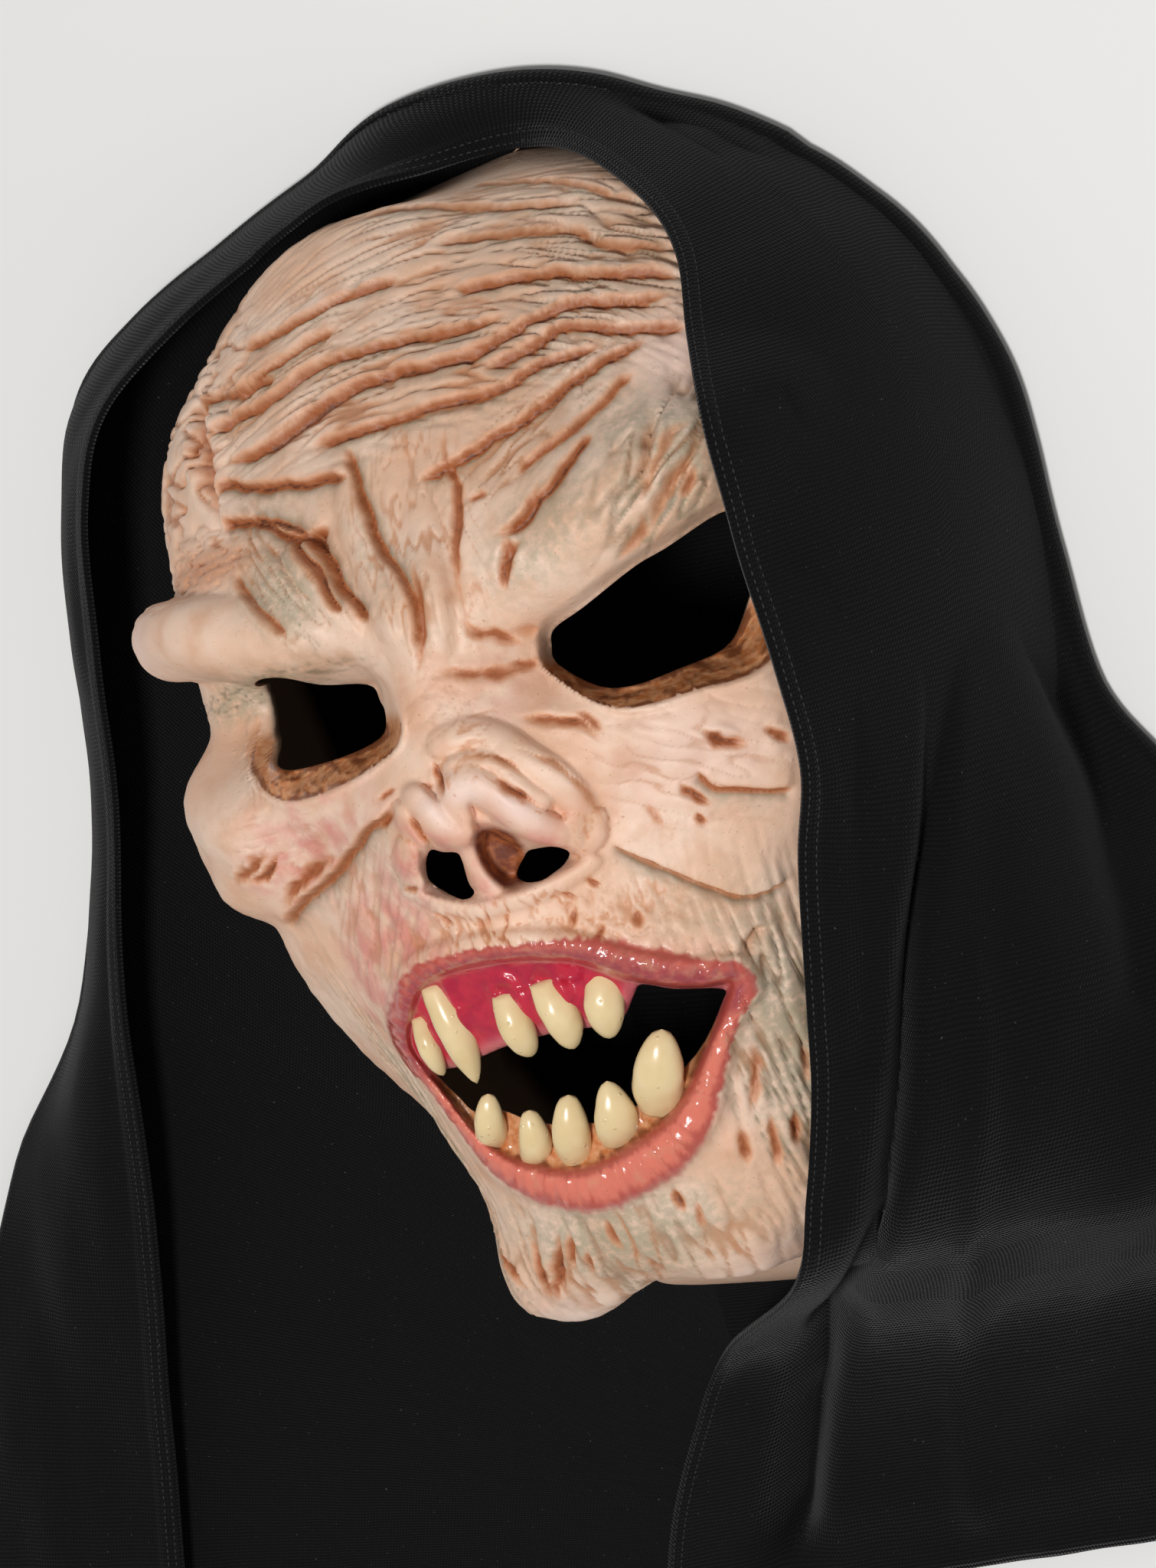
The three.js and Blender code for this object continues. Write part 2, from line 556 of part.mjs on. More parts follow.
function backGeometry(rows) {
  const shape = new THREE.Shape(rows.map(([, , , fx, fy]) => new THREE.Vector2(fx, fy)));
  return new THREE.ExtrudeGeometry(shape, { depth: clothThick, bevelEnabled: false });
}

// A grid of points made a closed sheet of even thickness
function sheetSolid(sheet) {
  const n = sheet.length;
  const m = sheet[0].length;
  const outer = [];
  const inner = [];
  const at = (i, j) => sheet[clamp(i, 0, n - 1)][clamp(j, 0, m - 1)];
  for (let i = 0; i < n; i += 1) {
    for (let j = 0; j < m; j += 1) {
      const alongRow = at(i, j + 1).clone().sub(at(i, j - 1));
      const alongHem = at(i + 1, j).clone().sub(at(i - 1, j));
      const up = alongRow.cross(alongHem).normalize();
      outer.push(at(i, j).clone().addScaledVector(up, clothThick / 2));
      inner.push(at(i, j).clone().addScaledVector(up, -clothThick / 2));
    }
  }
  const faces = [];
  for (let i = 0; i < n - 1; i += 1) {
    for (let j = 0; j < m - 1; j += 1) {
      const [p, q, r, s] = [i * m + j, i * m + j + 1, (i + 1) * m + j + 1, (i + 1) * m + j];
      faces.push([p, q, r], [p, r, s]);
    }
  }
  return closedShell(outer, inner, faces);
}

// Build
const wasm = await Module();
wasm.setup();
function toSolid(geometry) {
  for (const extra of ["normal", "uv"]) geometry.deleteAttribute(extra);
  const clean = mergeVertices(geometry, 1e-4);
  return new wasm.Manifold(new wasm.Mesh({
    numProp: 3,
    vertProperties: new Float32Array(clean.attributes.position.array),
    triVerts: new Uint32Array(clean.index.array),
  }));
}
function fromSolid(solid) {
  const mesh = solid.getMesh();
  const geometry = new THREE.BufferGeometry();
  geometry.setAttribute("position", new THREE.BufferAttribute(new Float32Array(mesh.vertProperties), 3));
  geometry.setIndex(new THREE.BufferAttribute(new Uint32Array(mesh.triVerts), 1));
  return geometry;
}

const latex = new THREE.MeshStandardMaterial({ color: latexColour, roughness: 0.5, metalness: 0 });
const knit = new THREE.MeshStandardMaterial({ color: knitColour, roughness: 0.95, metalness: 0 });

let casting = toSolid(castingShell());
for (const tooth of teeth) casting = casting.add(toSolid(toothGeometry(tooth)));
const mask = new THREE.Mesh(fromSolid(casting), latex);
mask.name = "latex_mask";
mask.position.set(maskAt.x, maskAt.y, maskAt.z);

const rows = hoodEnds();
const bag = toSolid(backGeometry(rows)).add(toSolid(bandGeometry(rows)));
const hood = new THREE.Mesh(fromSolid(bag), knit);
hood.name = "hood";
hood.position.set(maskAt.x, maskAt.y, 0);

const part = new THREE.Group();
part.add(mask, hood);

export default part;
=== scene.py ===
import bmesh
import bpy
import numpy as np
from mathutils import Matrix, Vector


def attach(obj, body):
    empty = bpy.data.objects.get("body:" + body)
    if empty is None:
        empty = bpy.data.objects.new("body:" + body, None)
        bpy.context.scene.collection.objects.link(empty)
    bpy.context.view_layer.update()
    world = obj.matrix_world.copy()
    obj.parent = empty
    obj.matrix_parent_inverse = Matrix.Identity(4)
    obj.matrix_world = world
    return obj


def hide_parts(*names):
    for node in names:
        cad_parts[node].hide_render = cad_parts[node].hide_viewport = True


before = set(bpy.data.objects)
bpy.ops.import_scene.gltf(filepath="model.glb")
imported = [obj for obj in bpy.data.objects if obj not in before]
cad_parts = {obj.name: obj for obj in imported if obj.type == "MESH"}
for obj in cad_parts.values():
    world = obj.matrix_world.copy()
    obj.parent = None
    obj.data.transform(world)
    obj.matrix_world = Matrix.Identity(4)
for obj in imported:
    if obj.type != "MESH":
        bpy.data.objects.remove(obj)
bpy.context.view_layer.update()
print("frame loaded")

# The mask is worked out in millimetres about the middle of its rim plane: X to the wearer's left,
# Y to the crown, Z out of the face. maskAt is that point in the part's frame.
maskAt = np.array([39.0, 36.8, 2.3])


def inPart(points):
    return (np.asarray(points) + maskAt) / 1000


# Camera, at the angle of the photograph

shot = {
    "yaw": 30,  # degrees off straight above the face, towards the wearer's left
    "pitch": 7,  # and towards the crown
    "roll": 17,
    "distance": 1200,  # mm
    "picture": (1510, 2048),
    "target": (0, 20, 75),
    "focal": 7640,  # in pixels
    "seenAt": (640.2, 870.7),  # pixel where the target shows
}


def cameraAxes():
    yaw, pitch, roll = np.radians([shot["yaw"], shot["pitch"], shot["roll"]])
    back = np.array([np.sin(yaw) * np.cos(pitch), np.sin(pitch), np.cos(yaw) * np.cos(pitch)])
    right = np.cross([0, 1, 0], back)
    right /= np.linalg.norm(right)
    up = np.cross(back, right)
    right, up = np.cos(roll) * right - np.sin(roll) * up, np.sin(roll) * right + np.cos(roll) * up
    return right, up, back


def makeCamera():
    right, up, back = cameraAxes()
    place = inPart(np.array(shot["target"]) + back * shot["distance"])
    across, down = (np.array(shot["seenAt"]) - np.array(shot["picture"]) / 2) / shot["focal"]
    aimed = back + right * across - up * down
    aimed /= np.linalg.norm(aimed)
    side = right - aimed * (right @ aimed)
    side /= np.linalg.norm(side)
    top = np.cross(aimed, side)
    data = bpy.data.cameras.new("camera")
    data.sensor_width = 36
    data.lens = shot["focal"] / shot["picture"][1] * data.sensor_width
    data.clip_start = 0.05
    camera = bpy.data.objects.new("camera", data)
    bpy.context.collection.objects.link(camera)
    rows = [(side[i], top[i], aimed[i], place[i]) for i in range(3)]
    camera.matrix_world = Matrix(rows + [(0, 0, 0, 1)])
    bpy.context.scene.camera = camera


makeCamera()
print("camera made")

# Colours and nodes


def linear(hexColour):
    value = [int(hexColour[i : i + 2], 16) / 255 for i in (1, 3, 5)]
    return [*(v / 12.92 if v <= 0.04045 else ((v + 0.055) / 1.055) ** 2.4 for v in value), 1]


def addNode(tree, kind, inputs=None, **settings):
    node = tree.nodes.new(kind)
    for name, value in settings.items():
        setattr(node, name, value)
    for key, value in (inputs or {}).items():
        if isinstance(value, bpy.types.NodeSocket):
            tree.links.new(value, node.inputs[key])
        else:
            node.inputs[key].default_value = value
    return node


def newMaterial(name):
    material = bpy.data.materials.new(name)
    material.use_nodes = True
    return material, material.node_tree, material.node_tree.nodes["Principled BSDF"]


# Curves, distances and noise


def smoothCurve(points, x):  # passes through (x, y) pairs
    xs, ys = np.array(points, float).T
    slope = np.gradient(ys, xs)
    x = np.clip(x, xs[0], xs[-1])
    i = np.clip(np.searchsorted(xs, x) - 1, 0, len(xs) - 2)
    w = xs[i + 1] - xs[i]
    t = (x - xs[i]) / w
    value = (2 * t**3 - 3 * t**2 + 1) * ys[i] + (t**3 - 2 * t**2 + t) * w * slope[i]
    return value + (3 * t**2 - 2 * t**3) * ys[i + 1] + (t**3 - t**2) * w * slope[i + 1]


def spline(points, steps=5, closed=False):
    p = np.array(points, float)
    n = len(p)
    out = []
    for i in range(n if closed else n - 1):
        p1, p2 = p[i], p[(i + 1) % n]
        p0 = p[i - 1] if closed or i > 0 else 2 * p1 - p2
        p3 = p[(i + 2) % n] if closed or i < n - 2 else 2 * p2 - p1
        for t in np.arange(steps) / steps:
            square = (2 * p0 - 5 * p1 + 4 * p2 - p3) * t**2
            out.append((2 * p1 + (p2 - p0) * t + square + (3 * p1 - p0 - 3 * p2 + p3) * t**3) / 2)
    return np.array(out if closed else out + [p[-1]])


def step(x, lo, hi):
    t = np.clip((x - lo) / (hi - lo), 0, 1)
    return t * t * (3 - 2 * t)


def bell(x, width):
    return np.exp(-((x / width) ** 2))


def along(values, share):  # values at even steps along a run
    return np.interp(share, np.linspace(0, 1, len(values)), values)


def roundDrop(q):  # how far a round of radius 1 drops at q off its middle
    return 1 - np.sqrt(np.maximum(1 - np.minimum(q, 1) ** 2, 0))


def unit(v):
    return v / np.maximum(np.linalg.norm(v, axis=-1, keepdims=True), 1e-9)


def runLengths(grid):  # length passed along each row of a grid of points
    steps = np.linalg.norm(np.diff(grid, axis=1), axis=-1)
    return np.concatenate([np.zeros((len(grid), 1)), np.cumsum(steps, axis=1)], 1)


def gridCells(rows, columns):
    index = np.arange(rows * columns).reshape(rows, columns)
    return np.stack([index[:-1, :-1], index[:-1, 1:], index[1:, 1:], index[1:, :-1]], -1).reshape(-1, 4)


def nearLine(a, b, line):  # signed distance, left of the run positive, and share of the run passed
    best = np.full(np.shape(a), 1e9)
    side = np.ones(np.shape(a))
    passed = np.zeros(np.shape(a))
    run = 0.0
    for p, q in zip(line[:-1], line[1:]):
        length = max(np.hypot(*(q - p)), 1e-9)
        ua, ub = (q - p) / length
        t = np.clip((a - p[0]) * ua + (b - p[1]) * ub, 0, length)
        away = (a - p[0] - t * ua) ** 2 + (b - p[1] - t * ub) ** 2
        nearer = away < best
        best = np.where(nearer, away, best)
        side = np.where(nearer, np.where(ua * (b - p[1]) - ub * (a - p[0]) < 0, -1, 1), side)
        passed = np.where(nearer, run + t, passed)
        run += length
    return np.sqrt(best) * side, passed / run


def loopDistance(a, b, loop):  # negative inside
    ring = np.vstack([loop, loop[:1]])
    within = np.zeros(np.shape(a), bool)
    for p, q in zip(ring[:-1], ring[1:]):
        if p[1] != q[1]:
            within ^= ((p[1] > b) != (q[1] > b)) & (a < (q[0] - p[0]) * (b - p[1]) / (q[1] - p[1]) + p[0])
    distance = np.abs(nearLine(a, b, ring)[0])
    return np.where(within, -distance, distance)


latticeTurn = np.random.RandomState(7).rand(256) * 2 * np.pi
latticeOrder = np.random.RandomState(8).permutation(256)


def noise(x, y, seed=0):  # smooth, about -1 to 1
    i, j = np.floor(x).astype(int), np.floor(y).astype(int)
    total = np.zeros(np.shape(x))
    for di in (0, 1):
        for dj in (0, 1):
            turn = latticeTurn[latticeOrder[(latticeOrder[(i + di + 37 * seed) & 255] + j + dj) & 255]]
            fx, fy = x - i - di, y - j - dj
            weight = (1 - step(abs(fx), 0, 1)) * (1 - step(abs(fy), 0, 1))
            total += (np.cos(turn) * fx + np.sin(turn) * fy) * weight
    return total * 1.7


# Head form: half width and depth at each height, joined by a superellipse section

head = {
    "depth": [
        (-138, 0), (-134, 38), (-126, 64), (-112, 78), (-90, 84), (-60, 88), (-40, 93), (-15, 97),
        (20, 98), (40, 95), (60, 86), (78, 73), (95, 53), (108, 31), (117, 0),
    ],
    "width": [
        (-138, 0), (-134, 26), (-126, 40), (-112, 50), (-90, 62), (-60, 75), (-30, 85), (0, 90),
        (30, 92), (60, 88), (85, 75), (102, 56), (112, 34), (117, 0),
    ],
    "power": 2.4,
    "rim": 157,  # chart distance of the casting's edge
    "wall": 2.2,
    "sight": (0.496, 0.122, 0.860),  # way in which the low relief is pushed out
}  # fmt: skip
sight = np.array(head["sight"])
levelY = np.linspace(-137.9, 116.9, 800)
levelDepth = np.maximum(smoothCurve(head["depth"], levelY), 0.5)
levelWidth = np.maximum(smoothCurve(head["width"], levelY), 0.5)


def headLevel(p):
    y = np.clip(p[..., 1], levelY[0], levelY[-1])
    across = np.abs(p[..., 0]) / np.interp(y, levelY, levelWidth)
    out = np.maximum(p[..., 2], 0) / np.interp(y, levelY, levelDepth)
    return across ** head["power"] + out ** head["power"] - 1 + np.abs(p[..., 1] - y)


def headPoint(a, b):  # chart place to point: a runs to the wearer's left, b to the crown
    rho, phi = np.hypot(a, b) / 100, np.arctan2(b, a)
    way = np.stack([np.sin(rho) * np.cos(phi), np.sin(rho) * np.sin(phi), np.cos(rho)], -1)
    lo, hi = np.zeros(np.shape(a)), np.full(np.shape(a), 220.0)
    for _ in range(24):
        middle = (lo + hi) / 2
        within = headLevel(way * middle[..., None]) < 0
        lo, hi = np.where(within, middle, lo), np.where(within, hi, middle)
    return way * lo[..., None]


def headNormal(a, b, e=0.6):
    leftward, upward = headPoint(a + e, b) - headPoint(a - e, b), headPoint(a, b + e) - headPoint(a, b - e)
    return unit(np.cross(leftward, upward))


def bump(a, b, a0, b0, ra, rb, height, turn=0, power=1):
    c, s = np.cos(np.radians(turn)), np.sin(np.radians(turn))
    u, v = ((a - a0) * c + (b - b0) * s) / ra, (-(a - a0) * s + (b - b0) * c) / rb
    return height * np.exp(-((u * u + v * v) ** power))


pairedForms = [  # place, radii, height
    (24, 23, 9, 8, -11),  # inner corner of the eye
    (61, 22, 12, 10, -11),  # outer corner
    (44, 4, 24, 9, 5),  # bag under the eye
    (64, -52, 14, 30, -5),  # hollow cheek
]
singleForms = [  # the same, then turn and squareness
    (0, -6, 25, 20, 11, 0, 1.5),  # snout
    (0, -35, 36, 13, 5),  # upper lip mound
    (-2, -58, 50, 30, 6, 0, 2),  # mouth mound
    (-6, -95, 24, 12, 3),  # chin
    (-29, -103, 13, 11, 13),  # far chin lump
    (11, -99, 12, 9, 4),  # near chin lump
    (-2, -125, 32, 28, -16, 0, 1.5),  # hollow under the jaw
    (1, -119, 9, 12, -4.5),  # notch beside the chin
    (42, 50, 30, 15, 6, 12, 1.5),  # near brow
    (-44, 42, 26, 14, 5, -6, 1.4),  # far brow
    (56, -14, 22, 18, 3),  # near cheekbone
    (-78, 82, 26, 26, 6),  # far temple
    (-44, 124, 39, 26.5, 9),  # crown
    (-75, -3, 24, 20, 12, 0, 2.4),  # far cheek pad
    (-72, -50, 19, 32, 7, 0, 1.7),  # far jowl
]


def broadForm(a, b):
    h = 6.5 * np.exp(-((a / 10.5) ** 2)) * step(b, 2, 20) * (1 - step(b, 34, 54))  # nose bridge
    for a0, *rest in pairedForms:
        h = h + bump(a, b, a0, *rest) + bump(a, b, -a0, *rest)
    for form in singleForms:
        h = h + bump(a, b, *form)
    return h * (1 - step(np.hypot(a, b), 125, 152))


# Low relief is laid out as it is seen along sight: a raised place moves its relief sideways

sightRise = [
    (-160, -0.42), (-100, -0.42), (-60, -0.39), (-20, -0.31), (0, -0.22), (20, -0.06), (40, 0.17),
      (60, 0.42),
    (80, 0.69), (150, 1.1),
]  # fmt: skip


def leanOf(a, b):
    return -np.tan(np.radians(np.clip(shot["yaw"] - 0.5 * a, -12, 62))), smoothCurve(sightRise, b)


def towardsSight(a, b):
    h = broadForm(a, b)
    across, up = leanOf(a, b)
    return a + h * across, b + h * up


def fromSight(sa, sb):
    a, b = np.array(sa, float), np.array(sb, float)
    for _ in range(12):
        h = broadForm(a, b)
        across, up = leanOf(a, b)
        a, b = (a + sa - h * across) / 2, (b + sb - h * up) / 2
    return a, b


outlines = {
    "nearEye": [
        (67.6, 19.5), (61, 14.6), (50.5, 13.2), (41.5, 12.4), (34.5, 14), (27, 20.6), (26.6, 23.8),
        (28, 27),
        (35, 30), (46.4, 35.3), (53.2, 37.4), (64, 41.6), (69, 41), (72, 35), (71.5, 26),
    ],
    "farEye": [
        (-13.6, 21), (-15.4, 15), (-24.6, 12.1), (-40.3, 10.8), (-47.5, 11.4), (-51, 13.6), (-51.6, 18),
        (-49.6, 26.5), (-47.5, 29.8), (-43, 30.6), (-36.5, 29.6), (-27.4, 26.6), (-15.2, 24.6),
    ],
    "farNostril": [
        (-13.2, -11), (-10.8, -12), (-7.6, -12.6), (-6.6, -14), (-7.2, -19.6), (-6.6, -22), (-8.5, -23),
        (-11.5, -22.4), (-16, -18.6), (-16.6, -16), (-15.4, -13),
    ],
    "nearNostril": [
        (10, -15.6), (15.2, -16), (17.8, -18), (15.8, -20.2), (12.7, -21.5), (9.8, -22.4), (6.4, -22.2),
        (4.8, -21), (5.4, -19.4), (7.8, -17.2),
    ],
    "mouth": [
        (-36.8, -59.7), (-29.7, -59), (-19.1, -56.5), (-12.4, -55.5), (0.1, -54.8), (9.9, -55.4),
        (14.4, -54.5), (18.6, -50.4), (21.2, -48.4), (26.8, -51.2), (35.4, -54.4), (34.5, -57), (24.5, -66),
        (10.7, -71.5), (-1.6, -73.5), (-15.1, -71.8), (-22.3, -69), (-29.7, -69), (-33, -66),
        (-35.8, -62.5),
    ],
    "lipRim": [
        (-41.6, -53.5), (-34, -43.5), (-27.9, -39), (-18.7, -37), (-3.4, -37.2), (9.9, -40.2),
        (18.8, -45.9),
        (26.8, -50.2), (31.9, -52.2), (36.6, -53), (37.2, -55), (26.1, -66.3), (16.6, -73.8), (5.3, -77.6),
        (-7.9, -79.8), (-21.1, -77.8), (-30.3, -73.5), (-37.5, -63.5),
    ],
    "snoutBasin": [
        (-17, -10), (0, -8), (18, -15), (19, -19), (12, -23.5), (2, -25), (-8, -25.5), (-16, -22.5),
        (-19, -16),
    ],
}  # fmt: skip
outlines = {name: spline(points, 4, True) for name, points in outlines.items()}
holes = ["nearEye", "farEye", "farNostril", "nearNostril", "mouth"]

rolls = [  # line, radius and top height along it, blend into what lies under
    ([(-16, 31), (-30, 36), (-46, 38.5), (-62, 40.5), (-74, 41.6), (-80, 42)],
      [6, 8, 9, 9.5, 8.7, 8.7], [2, 4, 6, 8.5, 10, 11.5], 3),
    ([(25, 37), (36, 45), (48, 52), (60, 58), (72, 62)], [8, 12, 14, 14, 12], [2.5, 5, 6, 5.5, 3], 4),
    ([(2, 62), (3, 48), (4, 38), (3, 30)], [4, 5, 4.6, 4], [1.2, 2.6, 2.8, 1.8], 1.5),
    ([(-17, 67), (-13.5, 55), (-9.5, 44), (-8, 35)], [3.6, 4.4, 4, 3.4], [1.5, 3, 3, 1.8], 1.2),
    ([(-28, 56), (-25, 48), (-20, 40), (-17, 35)], [4, 4.6, 4, 3.4], [2, 3.4, 3, 2], 1),
    ([(-40, 57), (-37, 50), (-31, 43)], [4.5, 5.2, 4.4], [1.6, 3, 3], 1.2),
]
snoutRolls = [
    ([(-3.1, 10.1), (2, 10.8), (7.1, 10.1), (11.8, 7), (15.9, 2.6), (20.6, -2.8), (23.2, -8.5),
      (23.3, -12.4)], [3.2, 4, 4.4, 4.4, 4, 3], [2.6, 3.8, 4.2, 4.2, 4, 3], 2),
    ([(-0.6, 5.4), (3.4, 5.5), (7, 4.7), (9.4, 2.8), (11.6, -0.1), (14, -3.3), (16.2, -5.7)],
      [2, 2.2, 2.2, 2], [5, 5.4, 5.2, 4.2], 0.9),
    ([(2.1, 1.7), (5.1, -1), (8.1, -4.5), (10.9, -8.1), (13.6, -10.7), (17, -13.2)],
      [4.6, 4.5, 4.3, 4.2, 3.9, 3.2], [6.8, 6.8, 6.6, 6.2, 5.4, 4], 0.9),
    ([(-3.4, -5.2), (-3.6, -2.6), (-2, 0), (1, 1.3), (3.6, 0.6), (5, -1)],
      [3.4, 3.7, 3.8, 3.9, 3.9, 3.8], [5, 6, 6.8, 7, 7, 6.6], 1.2),
    ([(-12.4, 0), (-10.6, -3.4), (-8, -6.6), (-5, -8.6), (-3.6, -8)], [3.6, 4.3, 4.3, 3.8, 2.8],
      [5.4, 6.4, 6.2, 5.4, 4.6], 1.2),
    ([(21.3, -11.9), (20, -15.7)], [2.6, 2.4], [3.8, 2.6], 0.8),
    ([(26, -11.8), (25, -15.2), (22.8, -17.2), (20.8, -18)], [1.8, 2, 1.6], [3, 3, 1.8], 0.8),
    ([(-17.1, -1.8), (-17.1, -5.2), (-15.3, -8.3)], [2.2, 2.6, 2.2], [3.8, 4.2, 3.2], 0.8),
    ([(-19.1, -9.9), (-21, -13.2), (-20.6, -17)], [3.2, 3.6, 3], [3.8, 3.8, 2.4], 0.8),
    ([(-4.1, -10.5), (-4.1, -15.5), (-3.5, -18.9), (-1.6, -23)], [2, 2.3, 2.8, 3.2],
      [0.5, -1, -1, -0.4], 1.4),
    ([(-22.8, -19), (-18.7, -22.1), (-13.8, -24.4), (-7.6, -26.1), (-0.4, -25.6), (5.6, -25.3),
      (11.6, -24.2), (17.8, -22.6), (22, -20.8)], [1.9, 2.1, 1.9], [1.9, 2.2, 1.8], 1.2),
]  # fmt: skip


def addRoll(a, b, ground, rust, line, radius, top, blend):
    line = spline(line, 4)
    reach = max(radius) + 6
    away = np.abs(np.stack([a, b], -1) - line.mean(0)) - np.ptp(line, axis=0) / 2
    m = (away[..., 0] < reach) & (away[..., 1] < reach + 4)
    d, s = nearLine(a[m], b[m], line)
    r = along(radius, s)
    q = np.abs(d) / r
    h = along(top, s) - r * roundDrop(q)
    h -= np.maximum(q - 1, 0) * r * 3
    apart = np.abs(h - ground[m])
    rust[m] = np.maximum(rust[m], 0.4 * (blend < 1) * (q > 0.6) * bell(apart, 0.5))
    ground[m] = np.maximum(h, ground[m]) + np.maximum(blend - apart, 0) ** 2 / (4 * blend)


# Folds: the skin right of each line hangs over it. Depth in mm, strength of the rust wash, line.
folds = [
    (1.1, 0.5, [(51.4, 116.4), (41.7, 122), (25.6, 132), (11.7, 138.2), (-6.2, 143.9)]),
    (1.4, 0.5, [(38.3, 120.2), (21.5, 124.5), (-5.2, 132.7), (-21.4, 135.4), (-36, 134)]),
    (1.8, 0.6, [(62, 100.6), (53.6, 103), (43.5, 106.7), (33.6, 113.7), (17.8, 117.7), (-4.7, 121.9)]),
    (2.2, 0.9, [(62, 93.4), (52.7, 96.6), (43, 98.3), (29.5, 103.7), (14.4, 104.8), (4.8, 107.1)]),
    (1.5, 0.8, [(-8.7, 113.5), (-23.3, 112), (-39.8, 107.1), (-60.4, 103.5)]),
    (1.7, 0.8, [(-24.6, 103.3), (-37.9, 99.3), (-50.5, 92.4), (-55.8, 92)]),
    (2.4, 0.9, [(25.1, 93.3), (10.3, 94.5), (-10.1, 95.8), (-30.5, 94), (-40.8, 89.1), (-57.5, 86.1),
      (-65.5, 81)]),
    (2.6, 1.0, [(63, 89.4), (49.6, 90.1), (33.7, 92.8), (18.9, 88.6), (5.1, 87.5), (-6.5, 88.4),
      (-26.2, 83.8), (-39.3, 77.4), (-56.9, 76)]),
    (2.3, 0.9, [(63, 82), (48.5, 83.9), (36.2, 87.5), (28.8, 85.2), (15.8, 82.9)]),
    (2.0, 1.0, [(47.2, 81.9), (31, 80.9), (22, 77.6), (9.3, 78.3), (-11.9, 76.9), (-27.9, 75.8)]),
    (2.0, 1.0, [(54.3, 81.9), (41.3, 76.5), (29.8, 71), (20.5, 67.6), (9.8, 64.7), (0.4, 62.9)]),
    (1.3, 0.8, [(50.3, 74.8), (39.6, 66.6), (30, 62.1), (24.8, 58.2)]),
    (1.8, 1.0, [(41.3, 63.9), (32.5, 55.2), (27.1, 51.1), (20.8, 47.4)]),
    (2.0, 0.8, [(-40.5, 94.4), (-53.2, 92.8), (-70.2, 93.8), (-75.4, 91.3)]),
    (2.2, 1.0, [(-13.4, 67.3), (-28.3, 68.4), (-39.3, 69.4), (-52.1, 71.9), (-56.9, 68.8)]),
    (2.4, 1.0, [(-19.1, 58.5), (-29, 56.8), (-38.5, 61.6), (-50.9, 63.7), (-54.4, 61.5)]),
    (2.6, 1.0, [(-25.8, 58.1), (-22.4, 51.7), (-15.8, 41.7), (-12.6, 36.3)]),
    (2.0, 0.8, [(-16.9, 74.9), (-13.9, 66.9), (-8.1, 51.8), (-1.5, 39.2), (-2.9, 28.4)]),
    (2.2, 0.5, [(59.1, -37.9), (48.7, -37.5), (39.3, -29.5), (33.3, -24.2), (25.7, -17.5)]),
    (1.6, 0.8, [(66.1, -18.8), (57.2, -15.5), (50.6, -12.3), (47.9, -7.3)]),
    (2.0, 1.0, [(-43.6, 62.8), (-35, 60), (-27.3, 56.9), (-22, 51.5)]),
    (2.2, 1.0, [(-31, 57), (-22.9, 47.3), (-18.4, 38.7)]),
    (1.6, 0.7, [(-49.3, 52), (-42, 43.9), (-33.8, 37.1)]),
    (2.6, 0.7, [(-17, 1.2), (-29.6, -5.1), (-44.9, -13.9), (-63.5, -20.7), (-76, -27)]),
]  # fmt: skip

